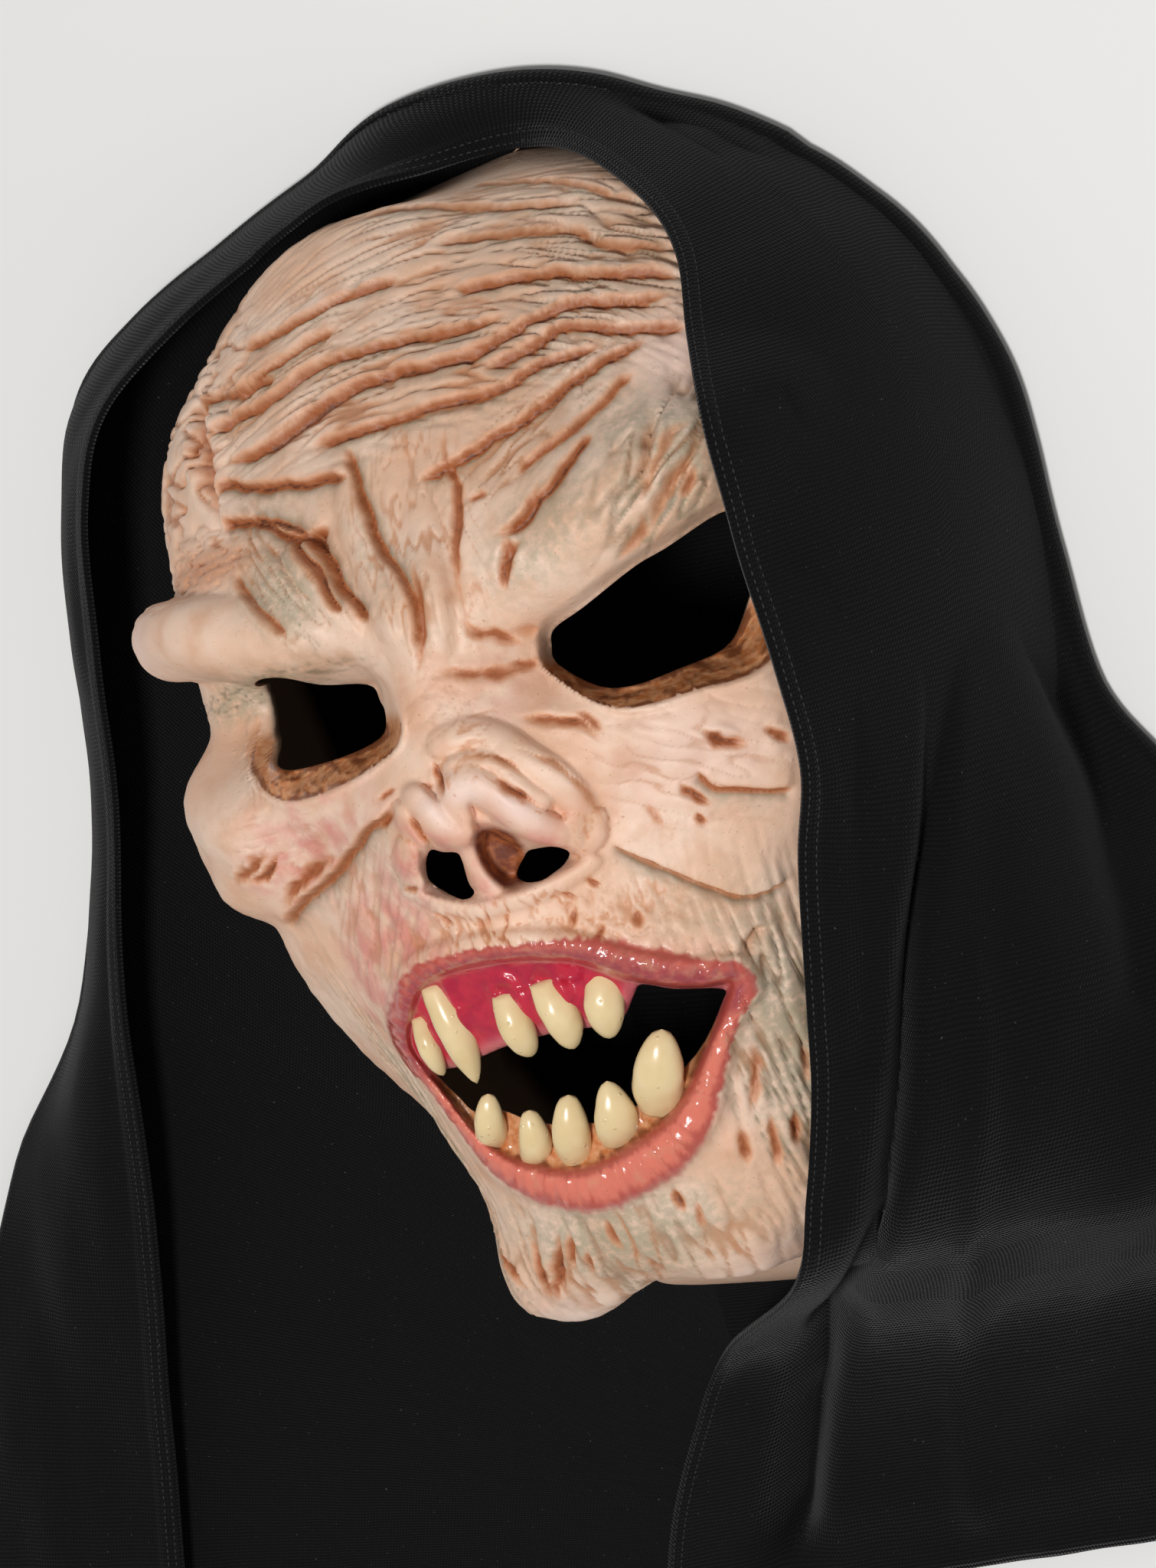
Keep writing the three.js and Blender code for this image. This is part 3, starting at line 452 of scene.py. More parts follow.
# Grooves: cut straight in. Depth, half width in mm, strength of the wash, line.
grooves = [
    (1.2, 0.8, 0.8, [(-3.9, 25), (8.4, 23), (17.2, 21), (25.5, 22.5)]),
    (1.5, 0.9, 0.9, [(8.5, 35.3), (10.6, 31.1), (16.3, 28.4), (23, 24.9)]),
    (1.0, 0.8, 0.8, [(-0.3, 50.3), (0.3, 40.4), (-1.2, 31.1), (-5.3, 23)]),
    (1.2, 0.8, 0.9, [(21.2, 48.4), (21.9, 42.6), (19.4, 36.1)]),
    (1.2, 0.8, 0.8, [(30.6, 57.5), (28.6, 52.2), (25.2, 48.7), (17.1, 47.2)]),
    (1.3, 0.9, 0.6, [(49.8, 47), (47.6, 40.6), (42, 36.3)]),
    (1.1, 1.1, 0.8, [(-57.8, -5.3), (-72.9, -9.5), (-90, -15)]),
    (1.4, 1.2, 0.9, [(-34.4, -7.3), (-46.3, -11.5), (-61.2, -17), (-70.1, -22.6)]),
    (0.9, 0.8, 0.8, [(27.3, 11.2), (30.7, 7.4), (32.9, 4.6)]),
    (1.5, 0.7, 1.1, [(-6.6, 8.2), (-5.4, 6), (-5.2, 3.5), (-5.5, 1), (-6, -1.6)]),
    (0.8, 0.5, 0.7, [(-1.7, 8.3), (0.6, 6.7), (6.6, 5.9), (10.2, 4.2), (13.5, 0.5), (15.7, -2.6)]),
    (1.4, 0.8, 1.1, [(6.1, 3), (9.5, -1.6), (12.3, -4), (16, -8)]),
    (0.9, 0.5, 0.6, [(9.7, 8.5), (14.8, 5.2), (19.4, 2.1), (23.2, -2.3), (26.1, -8.8), (26.8, -14.7),
      (24.8, -18.9)]),
    (0.7, 0.5, 0.7, [(-12.1, 2.8), (-6.7, 2.3)]),
    (0.9, 0.6, 0.9, [(-16.2, -0.9), (-15, -4.8), (-14.2, -7.8), (-11.7, -10.1)]),
    (0.8, 0.6, 0.9, [(18.2, -23.2), (20.4, -25.1), (21.5, -26.8)]),
    (0.8, 0.6, 0.8, [(11.4, -25.1), (15.2, -27.1), (15, -28.1)]),
    (1.1, 0.82, 0.9, [(8.5, 77.7), (9.8, 64.7), (11.7, 57.6), (9.8, 40), (12.7, 32.6)]),
    (1.7, 0.82, 1.0, [(20, 35), (20.2, 41.3), (25.5, 45.9)]),
    (0.9, 0.68, 0.8, [(13.2, 55.8), (20.1, 57)]),
    (2.5, 1.2, 0.3, [(54.4, 68.2), (52, 58.9), (47.2, 45.5)]),
    (2.1, 1, 0.5, [(63.3, 62.4), (55.6, 57.9), (49.9, 48.5), (47.9, 44)]),
    (2.1, 1, 0.5, [(63.8, 57.8), (54.5, 48.7), (47.4, 37.7)]),
    (1.6, 0.88, 0.7, [(60.9, 52.1), (55.8, 45.3)]),
    (3.0, 2.2, 0.7, [(-79.1, 99.2), (-66.2, 82.3), (-55.9, 66.4), (-54.4, 59.7)]),
    (1.1, 0.82, 0.4, [(17.1, 28.8), (27.6, 27.2)]),
    (1, 0.68, 0.8, [(15.3, 22.5), (21.2, 22), (24, 23.4)]),
    (1.5, 0.75, 0.9, [(14.2, 12), (21, 10.7), (27.6, 8.2), (32.6, 2)]),
    (2, 0.88, 1.0, [(50.1, 0.5), (54.6, -3.9), (60.4, -6.8)]),
    (1.1, 0.82, 0.9, [(62.3, -3.2), (68.4, -8.9)]),
    (1.4, 0.68, 1.0, [(43.4, -9.1), (44.3, -11.7), (49.2, -16.6)]),
    (1, 0.61, 1.0, [(44.9, -16.5), (46.9, -20.9)]),
    (0.6, 0.61, 0.6, [(36.2, -10.6), (38.8, -18.8)]),
    (2.8, 1.1, 0.3, [(40.5, -51.4), (47, -46), (51.7, -46.4)]),
    (1.1, 0.54, 0.8, [(-25, -18.5), (-19.1, -18.1)]),
    (1.4, 0.61, 1.0, [(-44, -92.4), (-35.9, -99), (-32.9, -101.2)]),
    (1.5, 0.61, 1.0, [(-28.1, -88.3), (-26.8, -94.9), (-31.8, -102.7)]),
    (1.8, 0.75, 1.0, [(-18.6, -86.5), (-19.7, -90.9), (-30.5, -102.6)]),
    (1.4, 0.61, 0.9, [(-15.7, -87.7), (-18.7, -94.8)]),
    (1.1, 0.54, 0.9, [(-12.9, -89.8), (-15.6, -96.2)]),
    (1, 0.54, 0.8, [(-8, -86.7), (-5.5, -91.4)]),
    (1.1, 0.68, 1.0, [(8.4, -84.6), (8.8, -88.9)]),
    (1, 0.54, 0.7, [(12.1, -86.2), (10.5, -91.7)]),
    (1.8, 0.82, 0.7, [(35.4, -65.3), (34.2, -71.6), (27.9, -78.9)]),
    (1.6, 0.75, 0.9, [(26.5, -78.4), (23.3, -86)]),
    (1.4, 0.68, 0.9, [(36.6, -80.1), (33.5, -87.4)]),
    (1.6, 0.82, 0.5, [(45.2, -70.4), (40.5, -79.9)]),
    (1.5, 0.68, 0.9, [(32.9, -78.5), (27.7, -88.8)]),
    (0.9, 0.54, 0.9, [(13.8, -28.8), (13.5, -31.6), (10.7, -34.1)]),
    (0.9, 0.54, 0.9, [(19.5, -33.8), (14.8, -38.3)]),
    (0.9, 0.61, 0.8, [(27.5, -32.6), (24, -37.8)]),
    (0.7, 0.48, 0.8, [(11.8, -26.1), (15, -27.1), (14.6, -29.1)]),
    (0.9, 0.54, 0.7, [(-19.9, -23.8), (-15.1, -27), (-15.4, -29)]),
    (0.7, 0.54, 0.8, [(-23.3, 1.3), (-16, 3.7)]),
    (0.9, 0.61, 0.9, [(-26.1, -5), (-18.6, -1.2)]),
    (1.1, 0.82, 1.0, [(-78.8, -12.2), (-67.6, -11.8), (-56.1, -5)]),
    (1.4, 0.88, 0.4, [(-50.9, 26.7), (-58.9, 15), (-63.6, 5.4)]),
]  # fmt: skip

# Patches of small wrinkles: middle, half length and breadth of the patch, way the wrinkles run in degrees,
# bend (mm across per mm along squared), spacing, length, depth in mm, then rust, and grey-green wash with
# painted shade along the cuts.
wrinkles = [
    (2, 120, 60, 26, 0, 0.0051, 3.0, 26, 0.8, 0.45, 0.3),
    (-6, 88, 62, 18, 0, 0.0068, 3.2, 22, 0.9, 0.55, 0.3),
    (46, 104, 24, 24, -24, 0, 3.4, 20, 1.2, 0.45, 0.6),
    (-74, 86, 22, 30, -6, 0, 5.0, 14, 1.5, 0.9, 0.3),
    (-66, 54.5, 27, 7, 3, 0, 1.9, 11, 0.9, 0.9, 0.1),
    (-52, 27.5, 38, 5, 4, 0, 1.5, 12, 0.4, 0.1, 0.9),
    (55, 54, 22, 13, 52, 0, 4.2, 15, 1.3, 0.35, 1.0),
    (0, 50, 28, 18, 92, 0, 3.2, 11, 0.4, 0.55, 0.2),
    (-35, 50, 20, 12, -48, 0, 3.0, 12, 0.7, 0.6, 0.8),
    (30, 68, 26, 9, 34, 0, 2.6, 11, 0.5, 0.5, 0.5),
    (-58, 16, 14, 9, 76, 0, 2.0, 10, 0.5, 0.3, 0.3),
    (-62, -5, 26, 12, 12, 0, 2.6, 12, 0.4, 0.3, 0),
    (-34, -24, 22, 20, 58, 0, 3.0, 14, 0.4, 0.3, 0.2),
    (0, -31, 7, 38, 90, 0, 3.0, 6, 0.6, 0.7, 0.2),
    (47, -6, 24, 20, -30, 0, 3.6, 12, 0.35, 0.3, 0.1),
    (44, -72, 38, 20, 84, 0, 3.2, 26, 1.4, 0.3, 1.0),
    (-8, -94, 12, 38, 92, 0, 3.6, 11, 0.8, 0.5, 0.7),
    (-50, -74, 36, 10, -69, 0, 2.4, 24, 0.7, 0.15, 1.0),
    (2, 14, 12, 14, 20, 0, 2.4, 10, 0.3, 0.4, 0.1),
    (24, -38, 10, 14, 100, 0, 3.2, 7, 0.7, 0.4, 0.2),
]


def addFold(a, b, out, rust, moss, umber, deep, paint, line):
    line = spline(line)
    lo, hi = line.min(0) - 16, line.max(0) + 16
    m = (a > lo[0]) & (a < hi[0]) & (b > lo[1]) & (b < hi[1])
    d, s = nearLine(a[m], b[m], line)
    d = -d  # positive on the hanging side
    ends = step(s, 0, 0.12) * (1 - step(s, 0.88, 1))
    over = (1 + np.tanh(d / 0.35)) / 2
    lip = over * np.exp(-np.maximum(d, 0) / 6.5)
    under = (1 - over) * np.exp(np.minimum(d, 0) / 3.2)
    crease = bell(d + 0.7, 0.6)
    out[m] += deep * ends * (0.62 * lip - 0.5 * under - 0.3 * crease)
    ragged = 1.2 + 0.7 * noise(a[m] / 7, b[m] / 3, 11)
    # the wash is darkest in the crease line: rust paint laid dark as painted shadow under the lip
    wash = 0.17 * bell(d - 0.7, np.maximum(ragged, 0.6)) + 0.26 * bell(d, 0.6) + 0.95 * crease
    rust[m] = np.maximum(rust[m], paint * ends * wash)
    # grey-green painted shade in the recess under the hanging lip
    moss[m] = np.maximum(moss[m], 0.75 * ends * (1 - over) * np.exp(np.minimum(d, 0) / 4.5))
    # painted shade, darker next to the crease, in the recess under the hanging lip
    shade = ends * (1 - over) * min(deep / 2, 1)
    umber[m] = np.maximum(umber[m], shade * np.exp(np.minimum(d + 0.3, 0) / 1.9))


def addGroove(a, b, out, rust, deep, wide, paint, line):
    line = spline(line)
    lo, hi = line.min(0) - 7 * wide, line.max(0) + 7 * wide
    m = (a > lo[0]) & (a < hi[0]) & (b > lo[1]) & (b < hi[1])
    d, s = nearLine(a[m], b[m], line)
    ends = step(s, 0, 0.4) * (1 - step(s, 0.6, 1))
    q = np.abs(d) / (wide * (0.4 + 0.7 * ends))
    out[m] += deep * ends * (0.4 * bell(q - 2.2, 1.2) - np.exp(-(q**1.5)))
    ragged = 1 + 0.6 * noise(a[m] / 3, b[m] / 3, 12)
    rust[m] = np.maximum(rust[m], paint * ends * bell(q, 1.3 * ragged))


def addWrinkles(a, b, out, rust, moss, umber, k, patch):
    a0, b0, long, broad, turn, bend, pitch, length, deep, rusty, mossAndShadeWash = patch
    c, s = np.cos(np.radians(turn)), np.sin(np.radians(turn))
    u, v = (a - a0) * c + (b - b0) * s, -(a - a0) * s + (b - b0) * c
    m = (np.abs(u) < 1.6 * long) & (np.abs(v) < 1.6 * broad)
    u, v = u[m], v[m]
    mask = np.exp(-(((u / long) ** 2 + (v / broad) ** 2) ** 1.6))
    v = v + bend * u * u
    n = noise(u / length, v / pitch, k) + 0.35 * noise(u / length * 1.9 + 9, v / pitch * 2.1, k + 1)
    cut = bell(n, 0.17)
    out[m] += deep * mask * (0.35 * np.abs(n) - cut)
    patchy = 0.5 + 0.5 * noise(u / 15, v / 9, k + 2)
    rust[m] = np.maximum(rust[m], rusty * mask * cut * np.clip(patchy * 1.4, 0, 1))
    # grey-green wash, heavier along the cuts as painted shade
    moss[m] = np.maximum(moss[m], mossAndShadeWash * mask * np.clip(0.35 + 0.6 * cut - 0.4 * n, 0, 1))
    # painted shade along the wrinkle cuts
    umber[m] = np.maximum(umber[m], 0.6 * mask * cut * (0.4 + 0.6 * mossAndShadeWash))


mouthForm = {
    "upperRoll": 3.2,  # radius of the upper lip, mm
    "lowerRoll": 3.1,
    "upperTop": 3.8,
    "lowerTop": 4.6,
    "floor": -5.0,  # of the gums behind the lips
    # breadth of the red paint from side to side
    "upperRed": [(-50, 7), (-38, 5.5), (-25, 4), (0, 3.5), (12, 5.4), (22, 8.5), (31, 8), (38, 5)],
    "lowerRed": [(-42, 4), (-20, 6.4), (12, 7), (26, 5), (36, 3.4)],
}

# Teeth, from root to tip as seen, then width, thickness and how blunt the tip is
teeth = [
    ((-33.8, -46.2), (-34.9, -60.6), 4.8, 4.2, 0.8),
    ((-26.2, -39.6), (-26.2, -62.8), 7.6, 6.0, 0.45),
    ((-9.2, -44.2), (-9.8, -58.8), 7.4, 5.6, 0.8),
    ((1.0, -43.2), (0.8, -58.9), 8.2, 6.0, 0.7),
    ((15.2, -43.4), (9.4, -58.2), 8.4, 6.4, 0.7),
    ((-26.9, -74.6), (-24.4, -65.2), 6.8, 5.2, 1.0),
    ((-18.1, -77.6), (-15.5, -69.3), 6.8, 5.2, 1.1),
    ((-8.4, -78.4), (-5.2, -67.8), 8.0, 5.8, 1.1),
    ((2.0, -76.8), (4.7, -66.6), 9.2, 6.4, 0.7),
    ((12.9, -73.4), (20.6, -58.8), 10.8, 7.4, 0.9),
]


eyeBands = [  # outline, height of its lower rim, breadth of the painted slope under it from side to side
    ("nearEye", 24, [(26, 2.5), (40, 4.5), (55, 5.5), (70, 8.5)]),
    ("farEye", 20, [(-60, 7.5), (-50, 7), (-35, 6), (-18, 4)]),
]


# Some layers hold painted light: painted shade in creases and recesses, partly in the grey-green too, and
# painted highlights on raised places
paintLayers = (
    "rust", "umber", "moss", "blush", "pale", "lip", "lipEdge",
    "gum", "gumEdge", "band", "streak", "pit", "crimson",
)  # fmt: skip


def addEyeRims(a, b, h, pigment):  # with a sloping band under each eye
    for name, low, broad in eyeBands:
        d = loopDistance(a, b, outlines[name])
        under = 1 - step(b, low - 6, low + 3)
        breadth = np.interp(a, *np.transpose(broad))
        t = np.clip(d / (3.4 + under * (breadth - 3.4)), 0, 1.5)
        sunk = (6 + 1.5 * under) * (1 - 0.8 * step(-a, 40, 50))
        h -= sunk * (1 - step(t, 0, 1)) - under * 1.3 * bell(t - 1.1, 0.13)
        spoke = np.arctan2(b - low, a - outlines[name][:, 0].mean())
        streak = noise(spoke * 5, d / 1.3, 41) + 0.6 * noise(spoke * 12, d / 1.1, 42)
        h += under * 0.55 * streak * (t < 1)
        pigment["band"] = np.maximum(pigment["band"], under * (1 - step(t, 0.9, 1.06)))
        edged = 0.5 + 0.55 * streak + 0.5 * bell(t - 0.95, 0.12) + 0.5 * bell(t, 0.15)
        pigment["streak"] = np.maximum(pigment["streak"], under * (t < 1.2) * edged)


def addSnout(a, b, h, pigment):
    basin = 1 - step(loopDistance(a, b, outlines["snoutBasin"]), -2.5, 1.5)
    h -= 9 * basin
    pigment["pit"] = basin * np.exp(-((np.hypot(a - 3, (b + 15) * 0.7) / 5.5) ** 4))
    for roll in snoutRolls:
        addRoll(a, b, h, pigment["rust"], *roll)


def withMouth(a, b, d, h, pigment):  # d is the distance off the lips' inner rim
    form = mouthForm
    lower = 1 - step(b + 0.12 * np.abs(a), -60, -52)
    r = form["upperRoll"] + (form["lowerRoll"] - form["upperRoll"]) * lower
    r = r * (1 - 0.5 * step(a, 22, 36) * lower)
    top = form["upperTop"] + (form["lowerTop"] - form["upperTop"]) * lower
    q = (d - r) / r
    lipRound = top - r * roundDrop(np.abs(q)) - np.maximum(q - 1, 0) * r * 1.5
    outside = np.maximum(h, lipRound) + np.maximum(1.5 - np.abs(h - lipRound), 0) ** 2 / 6
    hole = loopDistance(a, b, outlines["mouth"])
    gumSwell = np.sqrt(np.clip(1 - ((hole - 5.5) / 5.5) ** 2, 0, 1)) * (1 - lower)
    gumRound = form["floor"] + 2.6 * gumSwell
    for root, tip, width, *_ in teeth:
        near, s = nearLine(a, b, np.array([root, tip], float))
        gumRound += (1 - step(s, 0.3, 0.7)) * 1.3 * bell(np.abs(near) - width * 0.42, 1.5) * (d < 0)
    inside = gumRound + (top - r * 0.9 - gumRound) * np.exp(np.minimum(d, 0) / 0.9)
    h = np.where(d > 0, outside, inside)
    h += bump(a, b, 33, -44, 12, 9, 2.5, -20)  # flap of the upper lip
    ring = np.arctan2(b + 58, (a + 3) * 0.8)
    pleat = noise(ring * 30, d / 7, 51) + 0.5 * noise(ring * 55, d / 5, 52)
    lipBand = step(d, -0.5, 0.8) * (1 - step(d, 5.5, 8.5))
    h += 0.55 * pleat * lipBand
    upperRed, lowerRed = (np.interp(a, *np.transpose(form[name])) for name in ("upperRed", "lowerRed"))
    red = np.where(lower > 0.5, lowerRed, upperRed) + 0.7 * noise(ring * 24, d / 6, 53)
    pigment["lip"] = step(d, -1.6, -0.4) * (1 - step(d / red, 0.7, 1.15))
    pigment["lipEdge"] = np.clip(step(d / red, 0.4, 0.9) + 0.5 * pleat + bell(d, 0.7), 0, 1)
    pigment["crimson"] = (1 - lower) * (1 - 0.75 * step(d / red, 0.2, 0.9))
    pigment["gum"] = (1 - step(d, -1.4, -0.3)) * (1 - lower)
    pigment["gumEdge"] = (d < 0) * bell(hole, 3.2) * (1 - lower)
    pigment["band"] = np.maximum(pigment["band"], (1 - step(d, -1.2, 0.6)) * lower)
    low = 0.35 + 0.45 * noise(ring * 18, d / 2.5, 54) + 0.5 * bell(d + 0.6, 0.8)
    pigment["streak"] = np.maximum(pigment["streak"], (d < 1) * lower * low)
    return h


def fineRelief(a, b, d, pigment):
    # folds wander a little, as cut by hand
    wa = a + 0.5 * noise(a / 6, b / 6, 61) + 0.2 * noise(a / 2.2, b / 2.2, 62)
    wb = b + 0.5 * noise(a / 6, b / 6, 63) + 0.2 * noise(a / 2.2, b / 2.2, 64)
    fine = np.zeros(a.shape)
    for fold in folds:
        addFold(wa, wb, fine, pigment["rust"], pigment["moss"], pigment["umber"], *fold)
    for groove in grooves:
        addGroove(wa, wb, fine, pigment["rust"], *groove)
    skin = step(d, 0.5, 3) * (1 - pigment["band"])
    small = np.zeros(a.shape)
    for k, patch in enumerate(wrinkles):
        addWrinkles(a, b, small, pigment["rust"], pigment["moss"], pigment["umber"], 3 * k + 70, patch)
    for name, *_ in eyeBands:
        skin = skin * step(loopDistance(a, b, outlines[name]), 1, 4)
    snout = np.exp(-((np.hypot((a - 1) / 22, (b + 9) / 15)) ** 6))
    fine += small * skin * (1 - snout)
    return fine + 0.22 * noise(a / 7, b / 7, 65) + 0.1 * noise(a / 2.6, b / 2.6, 66)


def lowRelief(a, b):
    pigment = {name: np.zeros(a.shape) for name in paintLayers}
    h = np.zeros(a.shape)
    addEyeRims(a, b, h, pigment)
    for roll in rolls:
        addRoll(a, b, h, pigment["rust"], *roll)
    addSnout(a, b, h, pigment)
    d = loopDistance(a, b, outlines["lipRim"])
    h = withMouth(a, b, d, h, pigment)
    fine = fineRelief(a, b, d, pigment)
    for name, *form in tints:
        pigment[name] = np.maximum(pigment[name], bump(a, b, *form))
    pigment["rust"] *= step(d, -0.5, 1.5)
    return h, fine, pigment


tints = [  # pigment, middle, radii, strength, turn, squareness
    ("rust", -60, 55, 22, 5, 0.5),
    ("rust", 4, 22, 14, 5, 0.3),
    ("rust", -8, 18, 4, 12, 0.3),
    # painted highlights on the raised places: nose tip, snout, temple, brow, chin lumps, cheekbone
    ("pale", 0, 0, 8, 4, 0.9),
    ("pale", 10, -6, 8, 3.5, 0.9, -48),
    ("pale", -9, -3, 3.5, 6, 0.9, 30),
    ("pale", -76, 42, 10, 7, 0.6),
    ("pale", 60, 76, 14, 12, 0.7),
    ("pale", -28, -104, 12, 8, 0.5),
    ("pale", 18, -102, 12, 8, 0.5),
    ("pale", 50, -2, 20, 10, 0.5, -20),
    ("blush", 14, -14, 8, 2.6, 0.8, -38),
    ("blush", -10, -9.5, 6, 2.4, 0.8, -30),
    ("blush", -20.6, -14, 4, 7, 0.9),
    ("blush", -3.4, -19, 3.4, 6, 0.8),
    ("blush", -52, -8, 26, 12, 0.9, 20),
    ("blush", -44, -36, 10, 20, 0.9, -20),
    # grey-green: the mask's own wash, with painted shade in it under the brows, round chin and jaw and in
    # hollows
    ("moss", 30, 46, 24, 12, 0.55, 30),
    ("moss", 56, 58, 16, 22, 0.7, 40),
    ("moss", 44, 100, 26, 22, 0.45, -20),
    ("moss", -34, 48, 16, 12, 0.75, -40),
    ("moss", -55, 27, 34, 6, 0.8, 4),
    ("moss", -10, 50, 8, 20, 0.4, 15),
    ("moss", 46, -70, 16, 36, 0.85),
    ("moss", -6, -90, 34, 8, 0.75),
    ("moss", -50, -74, 9, 34, 0.7, 20),
    ("moss", 40, -38, 20, 9, 0.4, -20),
    ("moss", 6, 100, 60, 9, 0.15, 0, 2),
    ("blush", -42, -4, 22, 10, 0.8, 20),
    ("blush", -30, -30, 13, 20, 1.0, -20),
    ("blush", 2, -12, 26, 12, 0.5),
    ("blush", -18, -12, 8, 12, 0.7),
    ("blush", 30, -46, 14, 8, 0.4, -20),
    ("blush", 44, -8, 24, 16, 0.3),
    ("blush", 12, 18, 16, 9, 0.4),
    ("blush", 30, -72, 9, 20, 0.25, -40),
]


def surface(a, b):
    h = broadForm(a, b)
    sa, sb = towardsSight(a, b)
    low, fine, pigment = lowRelief(sa, sb)
    edge = 1 - step(np.hypot(a, b), 125, 152)
    normal = headNormal(a, b)
    away = np.clip(step(-a, 42, 62) + step(a, 62, 75) + step(np.hypot(a, b), 95, 125), 0, 1)[..., None]
    push = unit(sight * (1 - away) + normal * away)
    smooth = headPoint(a, b) + normal * h[..., None] + push * (low * edge)[..., None]
    outer = smooth + normal * (fine * edge)[..., None]
    inner = smooth + normal * (np.minimum(fine, 0) * edge)[..., None] - push * head["wall"]
    return outer, inner, pigment


def holeLevel(a, b):
    sa, sb = towardsSight(a, b)
    levels = [loopDistance(sa, sb, outlines[name]) for name in holes]
    return np.minimum.reduce([head["rim"] - np.hypot(a, b), *levels])


# Grid over the chart, fine on the face, cut along the outlines

mesh = {
    "across": [(-164, 3), (-110, 1.3), (-85, 0.75), (-60, 0.6), (62, 0.6), (70, 0.8), (80, 2.2), (164, 4.5)],
    "up": [(-164, 2.6), (-125, 1.1), (-110, 0.6), (150, 0.6), (164, 2)],
    "snap": 0.3,  # corners this near an outline, in cells, are drawn onto it
    "innerShare": 0.06,  # of the inner wall's faces that are kept
    "most": 190000,  # triangles in all
}  # fmt: skip


def stations(steps):
    at = [steps[0][0]]
    while at[-1] < steps[-1][0]:
        at.append(at[-1] + np.interp(at[-1], *np.transpose(steps)))
    return np.array(at)


def chartSheet():
    across, up = stations(mesh["across"]), stations(mesh["up"])
    a, b = (g.ravel() for g in np.meshgrid(across, up))
    size = (np.minimum(*np.meshgrid(np.gradient(across), np.gradient(up)))).ravel()
    level = holeLevel(a, b)
    near = np.flatnonzero(np.abs(level) < mesh["snap"] * size)
    pa, pb, e = a[near].copy(), b[near].copy(), 0.05
    for _ in range(3):
        g = holeLevel(pa, pb)
        ga, gb = (holeLevel(pa + e, pb) - g) / e, (holeLevel(pa, pb + e) - g) / e
        pull = g / np.maximum(ga**2 + gb**2, 0.05)
        pa, pb = pa - pull * ga, pb - pull * gb
    good = np.hypot(pa - a[near], pb - b[near]) < 0.45 * size[near]
    a[near[good]], b[near[good]], level[near[good]] = pa[good], pb[good], 0
    cells = gridCells(len(up), len(across))
    value = level[cells]
    whole = (value >= 0).all(1) & (value > 0).any(1)
    mixed = cells[(value > 0).any(1) & (value < 0).any(1)]
    sides = np.sort(np.concatenate([mixed[:, [k, (k + 1) % 4]] for k in range(4)]), axis=1)
    sides = np.unique(sides[level[sides[:, 0]] * level[sides[:, 1]] < 0], axis=0)
    kept = np.where(level[sides[:, 0]] > 0, sides[:, 0], sides[:, 1])
    lost = sides.sum(1) - kept
    ka, kb, la, lb = a[kept], b[kept], a[lost], b[lost]
    for _ in range(10):
        ma, mb = (ka + la) / 2, (kb + lb) / 2
        outside = holeLevel(ma, mb) > 0
        ka, kb = np.where(outside, ma, ka), np.where(outside, mb, kb)
        la, lb = np.where(outside, la, ma), np.where(outside, lb, mb)
    cut = {(p, q): len(a) + k for k, (p, q) in enumerate(sides.tolist())}
    faces = cells[whole].tolist()
    for cell in mixed.tolist():
        ring = []
        for p, q in zip(cell, cell[1:] + cell[:1]):
            if level[p] >= 0:
                ring.append(p)
            if level[p] * level[q] < 0:
                ring.append(cut[min(p, q), max(p, q)])
        if len(ring) > 2:
            faces.append(ring)
    a, b = np.append(a, ka), np.append(b, kb)
    used = np.unique(np.concatenate([np.array(f) for f in faces]))
    order = np.full(len(a), -1)
    order[used] = np.arange(len(used))
    return a[used], b[used], [[int(order[k]) for k in f] for f in faces]


def borderSides(faces):
    seen = {}
    for f in faces:
        for p, q in zip(f, f[1:] + f[:1]):
            if (q, p) in seen:
                del seen[q, p]
            else:
                seen[p, q] = True
    return list(seen)


def newObject(name, points, faces, smooth=True):
    data = bpy.data.meshes.new(name)
    data.from_pydata([tuple(p) for p in points], [], faces)
    if smooth:
        data.shade_smooth()
    piece = bpy.data.objects.new(name, data)
    bpy.context.collection.objects.link(piece)
    return piece


def applyModifiers(piece):
    depsgraph = bpy.context.evaluated_depsgraph_get()
    data = bpy.data.meshes.new_from_object(piece.evaluated_get(depsgraph), depsgraph=depsgraph)
    piece.modifiers.clear()
    piece.vertex_groups.clear()
    piece.data = data
    data.shade_smooth()


def thin(piece, share, group=""):
    thinning = piece.modifiers.new("thin", "DECIMATE")
    thinning.ratio = min(share, 1)
    thinning.vertex_group = group
    thinning.use_collapse_triangulate = True
    applyModifiers(piece)


def makeSkin():
    a, b, faces = chartSheet()
    outer, inner, pigment = surface(a, b)
    atRim = np.hypot(a, b) > head["rim"] - 0.5
    outer[atRim, 2] = inner[atRim, 2] = 0
    n = len(a)
    sides = [[q, p, p + n, q + n] for p, q in borderSides(faces)]
    back = [[k + n for k in reversed(f)] for f in faces]
    skin = newObject("maskSkin", inPart(np.vstack([outer, inner])), faces + back + sides)
    layers = {name: np.append(values, np.zeros(n)) for name, values in pigment.items()}
    layers["inner"] = np.append(np.zeros(n), np.ones(n))
    for name, values in layers.items():
        layer = skin.data.attributes.new(name, "FLOAT", "POINT")
        layer.data.foreach_set("value", values.astype(np.float32))
    # the inner wall is thinned, its borders and the outer face are kept; then flat places of the whole
    border = {k + n for side in borderSides(faces) for k in side}
    group = skin.vertex_groups.new(name="thin")
    group.add([k for k in range(n, 2 * n) if k not in border], 1, "REPLACE")
    thin(skin, 0.5 + 0.5 * mesh["innerShare"], "thin")
    thin(skin, mesh["most"] / sum(len(f.vertices) - 2 for f in skin.data.polygons))
    return skin


